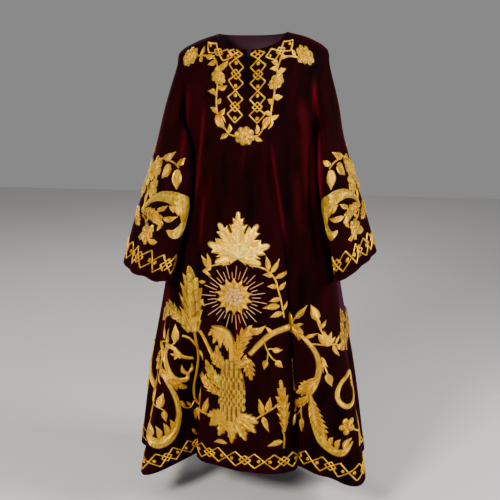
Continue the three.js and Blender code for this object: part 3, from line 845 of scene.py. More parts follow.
def wall(name, points, normals, closed, outer, inner, materials, keep=None, flat=None):
    """A closed thin wall between two offsets from a grid of points. Rows run upwards."""
    rows, columns = points.shape[:2]
    quads = grid_quads(np.arange(rows * columns).reshape(rows, columns), closed)
    if keep is not None:
        quads = quads[keep]
    quads = quads.reshape(-1, 4)
    sides = np.concatenate([quads[:, [0, 1]], quads[:, [1, 2]], quads[:, [2, 3]], quads[:, [3, 0]]])
    keys = sides[:, 0] * (rows * columns) + sides[:, 1]
    back_keys = sides[:, 1] * (rows * columns) + sides[:, 0]
    rim = sides[~np.isin(keys, back_keys)]
    shift = rows * columns
    rim_faces = np.stack([rim[:, 1], rim[:, 0], rim[:, 0] + shift, rim[:, 1] + shift], -1)
    faces = np.concatenate([quads, quads[:, ::-1] + shift, rim_faces])
    which = np.repeat([0, len(materials) - 1, 0], [len(quads), len(quads), len(rim_faces)])
    every = np.concatenate(
        [(points + normals * outer).reshape(-1, 3), (points + normals * inner).reshape(-1, 3)],
    )
    used = np.zeros(len(every), bool)
    used[faces.ravel()] = True
    renumber = np.cumsum(used) - 1
    uvs = None if flat is None else np.tile(flat.reshape(-1, 2), (2, 1))[used]
    return mesh_object(name, every[used], renumber[faces], materials, which, uvs)


def panel_flat(panel):
    """Each grid point's flat measures, for the weave of the satin."""
    columns = panel.grid.shape[1]
    return np.stack([panel.across[:, :columns], np.repeat(panel.downs[:, None], columns, 1)], -1)


# Painted crimson highlights along fold lines: how strongly, half the line's width, and its points
# across and down as seen from in front. The back has the same lines.
PAINTED_HIGHLIGHT_LINES = (
    (1.0, 6, ((190, 120), (203, 290), (213, 390), (217, 470), (232, 560), (250, 680))),
    (0.3, 14, ((158, 170), (168, 300), (176, 390), (186, 520))),
    (0.2, 12, ((142, 380), (150, 470), (160, 600))),
    (0.45, 5, ((-128, 190), (-150, 398), (-162, 520))),
    (0.4, 5, ((-128, 450), (-138, 560), (-146, 660))),
    (0.3, 4, ((-4, 300), (-17, 420))),
    (0.5, 4, ((70, 300), (80, 371), (96, 473), (122, 640))),
    (0.35, 7, ((-185, 140), (-196, 330), (-204, 420))),
    (0.5, 9, ((236, 40), (262, 120), (290, 260))),
    (0.4, 9, ((-232, 40), (-262, 140), (-300, 300))),
    (0.4, 12, ((300, 700), (330, 900), (352, 1120))),
    (0.35, 9, ((-20, 700), (-24, 1000), (-30, 1300))),
    (0.35, 10, ((-250, 700), (-285, 950), (-310, 1250))),
)
PAINTED_HIGHLIGHT_FADE_IN, PAINTED_HIGHLIGHT_FADE_OUT = 70, 90


def paint_highlight_lines(cloth):
    """Marks on each vertex how strong the painted crimson highlight is there, from 0 to 1."""
    flat = np.empty(len(cloth.data.vertices) * 3, np.float32)
    cloth.data.vertices.foreach_get("co", flat)
    x, _, z = flat.reshape(-1, 3).T / MM
    light = np.zeros(len(x))
    for strength, half, line in PAINTED_HIGHLIGHT_LINES:
        xs, drops = np.array(line, float).T
        fades = smooth((-z - drops[0]) / PAINTED_HIGHLIGHT_FADE_IN) * smooth((drops[-1] + z) / PAINTED_HIGHLIGHT_FADE_OUT)
        light += strength * fades * np.exp(-(((x - np.interp(-z, drops, xs)) / half) ** 2))
    mark = cloth.data.attributes.new("painted_highlight", "FLOAT", "POINT")
    mark.data.foreach_set("value", np.clip(light, 0, 1).astype(np.float32))


VELVET_WALL = 2.0
slit_columns = np.argsort(np.abs(front_shares))[:2].min()
front_keep = np.ones((SKIRT_ROWS + CHEST_ROWS, len(front_shares) - 1), bool)
front_keep[SKIRT_ROWS + CHEST_ROWS // 4 :, slit_columns] = False
front_velvet = wall(
    "front_velvet", front.grid, front.normals, False, 0, -VELVET_WALL, [VELVET, LINING], front_keep,
)
back_velvet = wall("back_velvet", back.grid, back.normals, False, 0, -VELVET_WALL, [VELVET, LINING])
sleeve_velvet = {
    name: wall(
        "sleeve_velvet_" + name, panel.grid, panel.normals, True, 0, -VELVET_WALL, [VELVET, LINING],
    )
    for name, panel in sleeves.items()
}
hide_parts("front_panel")
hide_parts("back_panel")
for name, cloth in sleeve_velvet.items():
    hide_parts("sleeve_" + name)
# Every velvet mesh gets its mask of painted crimson highlights.
for cloth in [front_velvet, back_velvet, *sleeve_velvet.values()]:
    paint_highlight_lines(cloth)
    print(cloth.name, len(cloth.data.polygons), "faces")

# %% [markdown]
# ## Satin at the edges
# The inside of the hem and the cuffs is faced with purple satin, and a few millimetres of it
# peep out below the velvet. A strip of the same satin covers the wearer's left side seam below
# the hip. All of it is cut from the same grids as the velvet, so it follows every fold.


# %% Satin bands
SATIN_WALL = 1.2
SATIN_GAP = 3.0
LINING_WIDTH = 56
LINING_PEEP = 4


def satin_band(name, panel, node_name):
    """A satin facing inside the lower edge of a panel, drawn out a little below it."""
    rows = panel.downs >= panel.downs[0] - LINING_WIDTH
    points, normals = panel.grid[rows], panel.normals[rows]
    falling = unit(points[0] - points[1])
    points = np.concatenate([(points[0] + falling * LINING_PEEP)[None], points])
    normals = np.concatenate([normals[:1], normals])
    flat = panel_flat(panel)[: len(points)]
    band = wall(
        name, points, normals, panel.closed, -SATIN_GAP, -SATIN_GAP - SATIN_WALL, [SATIN], None,
        flat,
    )
    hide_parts(node_name)
    return band, points


front_satin, front_band = satin_band("hem_satin_front", front, "hem_lining_front")
back_satin, back_band = satin_band("hem_satin_back", back, "hem_lining_back")
cuff_satin = {
    name: satin_band("cuff_satin_" + name, panel, "cuff_lining_" + name)
    for name, panel in sleeves.items()
}

SIDE_FACING_TOP = 770
SIDE_FACING_BOTTOM = 960
SIDE_FACING_BACK = 46
SIDE_FACING_FRONT = 60
SIDE_FACING_ROWS = 28
SIDE_FACING_OUTER, SIDE_FACING_INNER = 1.6, 0.4
facing_drops = np.linspace(SIDE_FACING_BOTTOM, SIDE_FACING_TOP, SIDE_FACING_ROWS)[:, None]
FACING_TAPER, FACING_FULLNESS = (0.04, 0.96), 0.4
narrowing = np.sin(np.pi * np.linspace(*FACING_TAPER, SIDE_FACING_ROWS)[:, None])
narrowing = narrowing**FACING_FULLNESS
facing_points, facing_normals = [], []
for panel, seam, shares in (
    (front, -1, np.linspace(-SIDE_FACING_FRONT, 0, 12)),
    (back, 0, np.linspace(0, SIDE_FACING_BACK, 10)),
):
    x = np.interp(facing_drops, panel.downs[::-1], panel.across[::-1, seam]) + shares * narrowing
    y = facing_drops + 0 * x
    points = panel.lay(x, y, 0 * x)
    facing_points.append(points)
    facing_normals.append(unit(panel.lay(x, y, 0 * x + 1) - points))
facing_points = np.concatenate(facing_points, 1)
side_facing = wall(
    "side_facing", facing_points, np.concatenate(facing_normals, 1), False, SIDE_FACING_OUTER,
    SIDE_FACING_INNER, [SATIN],
)
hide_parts("side_facing_left")
print("satin pieces:", 3 + len(cuff_satin))

# %% [markdown]
# ## How raised gold work is made
# The embroiderer cuts each leaf from card or felt, sews it on, and lays gold thread over it side
# by side. So every shape here is a low dome with a sunk edge, laid on the cloth from its flat
# drawing. A `Work` gathers the small domes of one group and joins them in one mesh, because
# hundreds of separate objects would be slow to handle.


# %% A gatherer of stitched shapes
class Work:
    """Raised thread work on one piece of cloth, gathered as small grids and joined in one mesh."""

    def __init__(self, name, lay):
        self.name, self.lay, self.count = name, lay, 0
        self.points, self.faces, self.uvs, self.kinds = [], [], [], []

    def grid(self, x, y, height, uv, kind, around=False):
        """Adds a grid of points, given flat and by their height above the cloth, in millimetres."""
        rows, columns = x.shape
        index = self.count + np.arange(rows * columns).reshape(rows, columns)
        quads = grid_quads(index, around).reshape(-1, 4)
        flat = x.ravel(), y.ravel()
        laid = self.lay(*flat, height.ravel())
        outwards = self.lay(*flat, height.ravel() + 1) - laid
        corners = laid[quads - self.count]
        facing = np.cross(corners[:, 2] - corners[:, 0], corners[:, 3] - corners[:, 1])
        if (facing * outwards[quads[:, 0] - self.count]).sum() < 0:
            quads = quads[:, ::-1]
        self.points.append(laid)
        self.faces.append(quads)
        self.uvs.append(uv.reshape(-1, 2))
        self.kinds.append(np.full(len(quads), kind))
        self.count += rows * columns

    def finish(self):
        """Joins everything gathered so far in one mesh that rides with the garment."""
        points, faces, kinds, uvs = map(
            np.concatenate, (self.points, self.faces, self.kinds, self.uvs),
        )
        made = mesh_object(self.name, points, faces, THREADS, kinds, uvs, None)
        print(self.name, len(made.data.polygons), "faces")


# Three of these threads are painted light: one dark gold is painted shade, and two light golds are
# painted highlights.
THREADS = [GOLD, PURL, PALE, PAINTED_HIGHLIGHT_GOLD, PAINTED_SHADE_GOLD, PAINTED_RIB_HIGHLIGHT]
SATIN_STITCH, PURL_STITCH, SILK_STITCH, PAINTED_HIGHLIGHT_STITCH, PAINTED_SHADE_UNDERLAY, PAINTED_RIB_STITCH = range(6)
SUNK = -0.5


# %% Curves, leaves, cords and discs
def curve(points, count):
    """Points spread evenly along a smooth curve through the given ones."""
    knots = np.asarray(points, float)
    knots = np.concatenate([[2 * knots[0] - knots[1]], knots, [2 * knots[-1] - knots[-2]]])
    t = np.linspace(0, len(knots) - 3, 20 * (len(knots) - 3) + 1)
    i = np.minimum(t.astype(int), len(knots) - 4)
    f = (t - i)[:, None]
    a, b, c, d = knots[i], knots[i + 1], knots[i + 2], knots[i + 3]
    fine = b + 0.5 * f * (c - a + f * (2 * a - 5 * b + 4 * c - d + f * (3 * b - a - 3 * c + d)))
    along = np.concatenate([[0], np.cumsum(np.linalg.norm(np.diff(fine, axis=0), axis=1))])
    at = np.linspace(0, along[-1], count)
    return np.stack([np.interp(at, along, column) for column in fine.T], -1), along[-1]


# Where the rows of points lie across a broad and across a narrow shape.
BROAD = np.array([-1, -0.82, -0.5, -0.14, 0, 0.14, 0.5, 0.82, 1])
NARROW = np.array([-1, -0.6, 0, 0.6, 1])
BROAD_FROM = 9
STATION_STEP = 6
# A shape's cross-section: how flat its dome is and how wide its groove, as a share of the width.
DOME_FLATNESS, GROOVE_WIDTH = 2.4, 0.16
# A tooth's forward sweep and the dip between teeth; the dome sinks where a shape is this narrow.
TOOTH_SWEEP, TOOTH_DIP, NARROW_SHARE = 0.9, 0.55, 0.35


def run_length(points):
    """How long a line through the given points is."""
    return np.linalg.norm(np.diff(np.asarray(points, float), axis=0), axis=1).sum()


def stations(spine, widths, count):
    """Even stations along a curve: places, half widths, ways forward and sideways, length."""
    path, length = curve(spine, count)
    half = between_rows(
        list(np.linspace(0, 1, len(widths))), list(widths), np.linspace(0, 1, count),
    )
    forward = np.gradient(path, axis=0)
    forward /= np.linalg.norm(forward, axis=1)[:, None] + 1e-9
    return path, half, forward, np.stack([-forward[:, 1], forward[:, 0]], -1), length


def blade(
    work, spine, widths, height=3.0, kind=SATIN_STITCH, teeth=0, bite=0.4, toothed=(1, 1),
    groove=0.4, broad=None,
):
    """A domed shape along a curved spine: a leaf, a petal, a band or a scroll.

    widths are half widths at even stations. teeth is how many teeth each edge has.
    """
    count = 5 * teeth + 1 if teeth else max(int(run_length(spine) / STATION_STEP) + 2, 7)
    path, half, forward, side, length = stations(spine, widths, count)
    place_along = np.linspace(0, 1, count)
    v = BROAD if (max(widths) > BROAD_FROM if broad is None else broad) else NARROW
    reach = half[:, None] * np.ones_like(v)[None, :]
    push = np.zeros_like(reach)
    rib = np.ones_like(reach)
    if teeth:
        phase = np.minimum((place_along * teeth) % 1, 0.999)
        phase = np.where(np.arange(count) % 5 == 0, 0.0, phase)
        amount = np.where(v < 0, toothed[0], toothed[1])[None, :] * np.abs(v)[None, :] ** 1.5
        reach = reach * (1 - bite * amount * (1 - phase[:, None]))
        push = half[:, None] * amount * bite * phase[:, None] * TOOTH_SWEEP
        rib = 1 - TOOTH_DIP * amount * (1 - phase[:, None])
    x = path[:, :1] + side[:, :1] * reach * v + forward[:, :1] * push
    y = path[:, 1:] + side[:, 1:] * reach * v + forward[:, 1:] * push
    dome = (1 - np.abs(v) ** DOME_FLATNESS) * (1 - groove * np.exp(-((v / GROOVE_WIDTH) ** 2)))
    ends = np.sqrt(np.clip(half / (NARROW_SHARE * max(widths)), 0.05, 1))
    rise = SUNK + (height - SUNK) * dome[None, :] * ends[:, None] * rib
    uv = np.stack([place_along[:, None] * length + 0 * reach, reach * v], -1)
    work.grid(x, y, rise, uv, kind)


UNDERLAY_DROP = 2.5
BRAID_SHARE, BRAID_RISE = 0.46, 1.8


def lined(work, spine, widths, height, kind, *more, margin=2.2):
    """A blade on a lower, wider underlay coloured with painted shade, which shows as a dark line
    round it.
    """
    blade(work, spine, [w + margin for w in widths], height - UNDERLAY_DROP, PAINTED_SHADE_UNDERLAY, *more)
    blade(work, spine, widths, height, kind, *more)


def scroll(work, spine, widths, height=5.0):
    """A broad band with a dark line of painted shade round it and a braid of purl along its middle.
    """
    lined(work, spine, widths, height, SATIN_STITCH, margin=1.8)
    blade(
        work, spine, [w * BRAID_SHARE for w in widths], height + BRAID_RISE, PURL_STITCH,
        groove=0.3,
    )


def cord(work, points, half=2.2, height=2.6, kind=SATIN_STITCH):
    """A round cord sewn down along a line."""
    blade(work, points, (half, half, half), height, kind, groove=0, broad=False)


DISC_RINGS = (1, 0.8, 0.45, 0.02)


def disc(work, x, y, radius, height, kind=PURL_STITCH, squash=1.0, turn=0.0, spokes=10):
    """A small round dome."""
    ring = np.array(DISC_RINGS)[:, None]
    around = np.arange(spokes)[None, :] * (2 * math.pi / spokes)
    a, b = radius * ring * np.cos(around), radius * squash * ring * np.sin(around)
    c, s = math.cos(turn), math.sin(turn)
    rise = SUNK + (height - SUNK) * np.sqrt(np.clip(1 - ring**2, 0, 1)) + 0 * around
    uv = np.stack([a, b], -1)
    work.grid(x + a * c - b * s, y + a * s + b * c, rise, uv, kind, around=True)


# Half widths from base to tip, as shares of a leaf's and a bud's width, and the tip itself.
LEAF_SHARES, BUD_SHARES, TIP_HALF = (0.12, 0.44, 0.5, 0.27), (0.10, 0.44, 0.42, 0.2), 0.3


def leaf(work, x, y, tip_x, tip_y, width, bend=0.0, kind=SATIN_STITCH, height=3.2):
    """A pointed leaf from its base to its tip. bend bows it sideways."""
    base, tip = np.array([x, y], float), np.array([tip_x, tip_y], float)
    across = np.array([-(tip - base)[1], (tip - base)[0]]) * bend
    spine = [base, base + (tip - base) * 0.5 + across, tip]
    widths = (*(width * share for share in LEAF_SHARES), TIP_HALF)
    blade(work, spine, widths, height, kind)


def bud(work, x, y, tip_x, tip_y, width, sepals=False):
    """A broad pointed leaf, or a closed bud when it has two sepals at its base."""
    base, tip = np.array([x, y], float), np.array([tip_x, tip_y], float)
    across = np.array([-(tip - base)[1], (tip - base)[0]])
    widths = (*(width * share for share in BUD_SHARES), TIP_HALF)
    blade(work, [base, (base + tip) / 2 + across * 0.04, tip], widths, 4.5, groove=0.45, broad=True)
    if sepals:
        for hand in (-1, 1):
            end = base + (tip - base) * 0.62 + across * 0.26 * hand
            leaf(work, *(base - (tip - base) * 0.08), *end, width * 0.36, 0.2 * hand, height=6)


def rose(work, x, y, radius, petals=6, kind=PURL_STITCH, tall=1.0):
    """An open rose: round petals about a raised heart in painted highlight, on an underlay coloured
    with painted shade.
    """
    disc(work, x, y, 0.86 * radius, 2.6, PAINTED_SHADE_UNDERLAY, tall)
    mean = radius * math.sqrt(tall)
    for count, away, size, rise, thread in (
        (petals, 0.64, 0.41, 5.0, kind), (petals - 1, 0.3, 0.24, 7.0, SATIN_STITCH),
        (1, 0, 0.14, 8.0, PAINTED_HIGHLIGHT_STITCH),
    ):
        for k in range(count):
            a = 2 * math.pi * (k + 0.3) / count
            place = x + away * radius * math.cos(a), y + away * radius * tall * math.sin(a)
            disc(work, *place, size * mean, rise, thread, 0.88, a)


LOBE_BITE = 0.62
UNDER_SHARE, TOP_SHARE = 0.74, 0.64
VEIN_LEAST_HALF = 12


def acanthus(work, spine, widths, lobes, sides=(1, 1), height=4.5, kind=SATIN_STITCH):
    """A long jagged leaf: toothed lobes sweep forward from a raised rib; veins part them. The
    under-blade and the veins are coloured with painted shade.
    """
    blade(work, spine, widths, height, kind, lobes, LOBE_BITE, sides, 0.3)
    blade(
        work, spine, [w * UNDER_SHARE for w in widths], height + 0.7, PAINTED_SHADE_UNDERLAY, 2 * lobes, 0.4,
        sides,
    )
    blade(
        work, spine, [w * TOP_SHARE for w in widths], height + 1.8, kind, 2 * lobes, 0.45, sides,
        0.5,
    )
    rib = max(2.0, max(widths) * 0.09)
    blade(work, spine, (rib, rib, rib * 0.8, 0.5), height + 2.6, kind, groove=0, broad=False)
    path, half, forward, side, _ = stations(spine, widths, lobes + 1)
    for k in range(1, lobes):
        for hand, share in zip((-1, 1), sides):
            foot = path[k] - 0.5 * half[k] * forward[k] + rib * (hand * side[k])
            notch = path[k] + half[k] * max(0.3, 0.9 - LOBE_BITE * min(share, 1)) * (hand * side[k])
            if half[k] > VEIN_LEAST_HALF:
                cord(work, [foot, notch], 1.5, height + 2.4, PAINTED_SHADE_UNDERLAY)


def beads(work, spine, radius, step, height, kind):
    """A row of small domes sewn along a line."""
    path, _ = curve(spine, max(int(run_length(spine) / step), 2))
    for x, y in path:
        disc(work, x, y, radius, height, kind, spokes=8)


def heading(turn):
    """A direction on a flat drawing, its turn in radians from straight up."""
    return np.array([math.sin(turn), -math.cos(turn)])


def round_from(centre, reach, turn):
    """A place on a flat drawing at a reach from a centre, its turn from straight down."""
    return centre[0] + reach * math.sin(turn), centre[1] + reach * math.cos(turn)


def each(draw, work, rows, *look):
    """Draws one leaf or bud for each row: base x, base y, tip x, tip y, width."""
    for row in rows:
        draw(work, *row, *look)


print("stitches sunk at their edges by", -SUNK, "mm")

# %% [markdown]
# ## The lozenge border
# One border edges the neck, the front opening, the cuffs and the hem. Two cords zigzag across
# each other. At every second crossing a small lozenge is laid over them, which makes a knot of
# four. Beside every other crossing lies a pair of berries. It is a plain strapwork border of a
# kind known all over the Orthodox world.


# %% The border as a function
BORDER_CORD = 2.3
# The knot and the berries, as shares of the border's period or of its height.
KNOT_LONG, KNOT_TALL = 0.31, 0.62
BERRY_AWAY, BERRY_SIZE = 0.145, 0.25


def border(work, to_flat, start, end, period, tall, first):
    """Two zigzag cords, knots and berries along a strip.

    to_flat turns (along, across) into flat x, y.
    """

    def line(a, b):
        steps = max(2, int(abs(b[0] - a[0]) / 8) + 2)
        along = np.linspace(a[0], b[0], steps)
        across = np.linspace(a[1], b[1], steps)
        cord(work, np.stack(to_flat(along, across), -1), BORDER_CORD)

    quarter = period / 4
    low = math.ceil((start - first) / quarter - 0.01)
    high = math.floor((end - first) / quarter + 0.01)
    for k in range(low, high):
        a, b = first + k * quarter, first + (k + 1) * quarter
        for hand in (-1, 1):
            from_, to = (0, tall) if k % 2 == 0 else (tall, 0)
            line((a, hand * from_), (b, hand * to))
    for k in range(low, high + 1):
        centre = first + k * quarter
        if k % 4 == 0:
            w, h = period * KNOT_LONG / 2, tall * KNOT_TALL
            corners = [(centre - w, 0), (centre, -h), (centre + w, 0), (centre, h), (centre - w, 0)]
            for a, b in zip(corners, corners[1:]):
                if start <= min(a[0], b[0]) and max(a[0], b[0]) <= end:
                    line(a, b)
        if k % 4 == 2:
            for hand in (-1, 1):
                along = centre + hand * period * BERRY_AWAY
                if start < along < end:
                    x, y = to_flat(np.array([along]), np.array([0.0]))
                    disc(work, float(x[0]), float(y[0]), tall * BERRY_SIZE, 4, SATIN_STITCH)


# %% Borders at the hem and the cuffs
HEM_BORDER_DROP = 1325
HEM_PERIOD = 127
HEM_TALL = 25


def row_edges(panel, drop):
    """How far a row of a panel reaches to either side of its middle line."""
    row = int(np.argmin(np.abs(panel.downs - drop)))
    return float(panel.across[row][0]), float(panel.across[row][-1])


for name, panel in (("front", front), ("back", back)):
    left_end, right_end = row_edges(panel, HEM_BORDER_DROP)
    work = Work("hem_border_" + name, panel.lay)
    border(
        work, lambda a, b: (a, HEM_BORDER_DROP + b), left_end + 4, right_end - 4, HEM_PERIOD,
        HEM_TALL, 0,
    )
    work.finish()

CUFF_BORDER_DOWN = 514
CUFF_TALL = 27
CUFF_PERIODS = 6
CUFF_FIRST = dict(right=58, left=55)
for name, panel in sleeves.items():
    left_end, right_end = row_edges(panel, CUFF_BORDER_DOWN)
    around = right_end - left_end
    work = Work("cuff_border_" + name, panel.lay)
    first, period = CUFF_FIRST[name], around / CUFF_PERIODS
    border(
        work, lambda a, b: (a, CUFF_BORDER_DOWN + b), first, first + around, period, CUFF_TALL,
        first,
    )
    work.finish()

# %% Borders at the neck and the front opening
PLACKET_PERIOD = 90.5
PLACKET_TALL = 23
PLACKET_FIRST_KNOT = 122.5
PLACKET_SIDES = (-36, 30)

work = Work("opening_border", front.lay)
for centre in PLACKET_SIDES:
    border(
        work,
        lambda a, b, centre=centre: (centre + b, a),
        PLACKET_FIRST_KNOT - PLACKET_PERIOD / 2,
        PLACKET_FIRST_KNOT + 1.5 * PLACKET_PERIOD,
        PLACKET_PERIOD,
        PLACKET_TALL,
        PLACKET_FIRST_KNOT,
    )
    for hand in (-1, 1):
        cord(work, [(centre, 77), (centre + hand * 21, 63)], 2.3)
        cord(work, [(centre + hand * 21, 63), (centre + hand * 4, 53)], 2.3)
        cord(work, [(centre + hand * 10, 70), (centre - hand * 8, 58)], 2.0)
work.finish()

NECK_BORDER_AWAY = 27
NECK_PERIOD = 92
NECK_TALL = 17


def yoke_lay(facing):
    """Lays a drawing given as seen from in front (or from behind) on the chest or upper back."""

    def lay(x, y, height):
        here = yoke_point(x, y, facing)
        to_right = yoke_point(x + 1.0, y, facing) - here
        upwards = yoke_point(x, y - 1.0, facing) - here
        normal = unit(np.cross(to_right, upwards) * -facing)
        return here + normal * height[:, None] + np.array([0, facing * SEAM_GAP / 2, 0])

    return lay


for name, facing, neck_drop, inner in (
    ("front", -1, FRONT_NECK_DROP, 50), ("back", 1, BACK_NECK_DROP, -1),
):
    shares = np.linspace(0, NECK_SHARE, 60)
    edge_x, edge_drop = top_edge(shares, neck_drop)
    edge = np.stack([edge_x, edge_drop], -1)
    tangent = unit(np.gradient(edge, axis=0))
    parallel = edge + np.stack([-tangent[:, 1], tangent[:, 0]], -1) * NECK_BORDER_AWAY
    seam_x, seam_drop = top_edge(np.linspace(NECK_SHARE, 1, 40), neck_drop)
    kept = parallel[:, 1] > np.interp(parallel[:, 0], seam_x, seam_drop, left=-99) + 2
    parallel = parallel[kept]
    run = np.concatenate([[0], np.cumsum(np.linalg.norm(np.diff(parallel, axis=0), axis=1))])
    work = Work("neck_border_" + name, yoke_lay(facing))
    for hand in (-1, 1):

        def neck_flat(a, b, hand=hand, parallel=parallel, run=run):
            x = np.interp(a, run, parallel[:, 0])
            y = np.interp(a, run, parallel[:, 1])
            ahead_x = np.interp(a + 2, run, parallel[:, 0]) - np.interp(a - 2, run, parallel[:, 0])
            ahead_y = np.interp(a + 2, run, parallel[:, 1]) - np.interp(a - 2, run, parallel[:, 1])
            size = np.hypot(ahead_x, ahead_y) + 1e-9
            return hand * (x - ahead_y / size * b), y + ahead_x / size * b

        end = min(run[-1], inner + NECK_PERIOD) + 1 if facing < 0 else run[-1]
        border(
            work, neck_flat, inner, end, NECK_PERIOD, NECK_TALL,
            inner + NECK_PERIOD / 2 if facing < 0 else 0,
        )
    work.finish()
print("neck border's length on one side:", round(float(run[-1])), "mm")

# %% [markdown]
# ## A garland of roses at the neck
# A thin stem leaves a rose on each shoulder, passes a second rose and a bud, and ends at one
# large rose below the opening. The roses are worked in purl, a tight coil of gold wire cut in
# short bits, so they look grainy. The leaves are satin stitch, so they shine.

# %% The neck garland
garland = Work("neck_garland", front.lay)
LEFT_STEM = [(-168, 84), (-140, 92), (-115, 104), (-101, 126), (-95, 170), (-95, 212), (-88, 246)]
RIGHT_STEM = [(160, 97), (135, 100), (110, 108), (93, 128), (82, 180), (74, 215), (69, 250)]
cord(garland, LEFT_STEM, 2.6)
cord(garland, RIGHT_STEM, 2.6)
cord(garland, [(-66, 276), (-52, 292), (-32, 298)], 2.6)
cord(garland, [(46, 280), (34, 294), (20, 297)], 2.6)
for x, y, radius, tall in (
    (-200, 78, 31, 0.62), (-93, 147, 25, 0.8), (185, 86, 31, 0.62), (88, 158, 25, 0.8),
    (-6, 296, 31, 0.88),
):
    rose(garland, x, y, radius, 8, PURL_STITCH, tall)
for x, y, tip_x, tip_y in ((-90, 246, -62, 282), (71, 248, 42, 283)):
    bud(garland, x, y, tip_x, tip_y, 21, sepals=True)
GARLAND_LEAVES = (
    (-162, 84, -150, 66, 13), (-160, 88, -154, 103, 13), (-142, 92, -112, 98, 14),
    (-108, 120, -134, 116, 14), (-98, 126, -70, 104, 14), (-90, 118, -62, 90, 13),
    (-95, 175, -62, 160, 14), (-96, 196, -125, 184, 14), (-95, 214, -80, 198, 13),
    (-91, 240, -114, 228, 14), (-88, 242, -66, 222, 14), (-55, 288, -52, 262, 15),
    (-56, 294, -80, 308, 15), (158, 96, 172, 106, 13), (150, 98, 140, 82, 13),
    (122, 104, 98, 112, 13), (96, 124, 70, 98, 14), (92, 132, 66, 116, 13), (92, 136, 120, 132, 14),
    (82, 176, 60, 156, 14), (79, 192, 108, 200, 15), (76, 214, 60, 196, 14), (71, 240, 48, 230, 14),
    (70, 246, 96, 242, 14), (28, 290, 30, 262, 15), (26, 298, 48, 310, 15),
)
each(leaf, garland, GARLAND_LEAVES, 0.12)
garland.finish()

# %% [markdown]
# ## The vine leaf and the rayed rosette
# A broad vine leaf crowns the skirt. It is built from seven toothed lobes that share one foot,
# the longest pointing up. Below it a round rosette lies in a ring of rays. Knots of pale silk
# fill its heart. Two small sprays hang from the leaf's foot.

# %% The vine leaf
vine = Work("vine_leaf", front.lay)
VINE_FOOT = np.array([-24.0, 664.0])
# Each lobe: turn from upright in degrees, length, half width, teeth.
VINE_LOBES = (
    (-104, 74, 26, 3), (104, 74, 26, 3), (-67, 106, 38, 4), (67, 106, 38, 4), (-30, 122, 38, 5),
    (30, 122, 38, 5), (0, 143, 38, 6),
)
# The lobes are in the painted highlight gold, each on an outline of painted shade.
for order, (turn, length, half, teeth) in enumerate(VINE_LOBES):
    a = math.radians(turn)
    tip = VINE_FOOT + length * heading(a)
    bow = VINE_FOOT + 0.55 * length * heading(a * 0.94)
    widths = (6, half * 0.85, half, half * 0.62, 0.4)
    lined(
        vine, [VINE_FOOT, bow, tip], widths, 4.6 + 0.5 * order, PAINTED_HIGHLIGHT_STITCH, teeth, 0.62,
        margin=2.6,
    )
# Painted highlight: the ribs and their side veins are in the pale highlight gold.
for turn, length in ((0, 120), (-30, 96), (30, 96), (-67, 84), (67, 84)):
    a = math.radians(turn)
    tip = VINE_FOOT + length * heading(a)
    lined(
        vine, [VINE_FOOT, (VINE_FOOT + tip) / 2, tip], (3.8, 3.4, 0.4), 9.6, PAINTED_RIB_STITCH,
        margin=1.4,
    )
    for share, hand in ((0.4, -1), (0.4, 1), (0.65, -1), (0.65, 1)):
        root = VINE_FOOT + (tip - VINE_FOOT) * share
        end = root + 0.28 * length * heading(a + 0.6 * hand)
        blade(vine, [root, (root + end) / 2, end], (2.2, 2.0, 0.3), 9.0, PAINTED_RIB_STITCH, groove=0)
vine.finish()

# %% The rosette and its rays
rosette = Work("rosette", front.lay)
ROSETTE = (-36, 786)
PETALS = 14
for ring, reach, start, width, rise in ((0, 60, 16, 22, 4.2), (1, 47, 12, 20, 6.0)):
    for k in range(PETALS):
        a = 2 * math.pi * (k + ring / 2) / PETALS
        foot, tip = round_from(ROSETTE, start, a), round_from(ROSETTE, reach, a)
        # Painted shade: a wider petal in the dark gold lies under each petal as its shaded outline.
        leaf(rosette, *foot, *tip, width + 3, 0, PAINTED_SHADE_UNDERLAY, rise - 1.6)
        leaf(rosette, *foot, *tip, width - 1, 0, (SATIN_STITCH, PURL_STITCH)[ring], rise)
rosette.finish()
heart = Work("rosette_heart", front.lay)
for count, away, radius, rise in ((10, 22, 8.5, 8), (6, 10, 7.5, 10)):
    for k in range(count):
        a = 2 * math.pi * (k + 0.5) / count
        disc(heart, *round_from(ROSETTE, away, a), radius, rise, SILK_STITCH, 0.8, a)
disc(heart, *ROSETTE, 5, 12, PURL_STITCH)
heart.finish()

RAYS = 38
RAYS_START = 57
RAY_ENDS = (104, 84, 98, 78)
rays = Work("rays", front.lay)
for k in range(RAYS):
    a = 2 * math.pi * (k + 0.5) / RAYS
    reach = RAY_ENDS[k % len(RAY_ENDS)]
    ends = RAYS_START, (RAYS_START + reach) / 2, reach
    points = [round_from(ROSETTE, end, a) for end in ends]
    blade(rays, points, (1.0, 1.3, 1.0), 2.2, SILK_STITCH, groove=0, broad=False)
rays.finish()

# %% Sprays beside the rosette
sprays = Work("side_sprays", front.lay)
cord(sprays, [(-52, 684), (-85, 687), (-115, 697), (-132, 715)], 2.6)
cord(sprays, [(12, 684), (45, 690), (72, 704), (92, 730), (102, 765), (112, 800), (122, 850)], 3.0)
each(
    bud, sprays,
    (
        (-112, 695, -122, 655, 17), (-120, 698, -142, 662, 17), (-106, 700, -138, 712, 14),
        (-128, 712, -108, 722, 13), (70, 700, 62, 654, 20), (78, 706, 104, 664, 20),
        (84, 716, 52, 712, 18), (92, 722, 144, 704, 18), (98, 752, 66, 748, 18),
        (104, 760, 128, 738, 20), (108, 790, 72, 796, 19), (106, 812, 52, 818, 24),
        (116, 834, 76, 846, 22), (118, 826, 134, 800, 14), (-146, 745, -124, 744, 14),
        (-146, 800, -128, 822, 16),
    ),
)
sprays.finish()

# %% [markdown]
# ## The great plume and the scrolls on the wearer's right
# Scrolls start as a smooth band and break into leaves where they turn. Each scroll is a spine
# with a half width at every station; the leaves are lobes set along one or both of its edges.

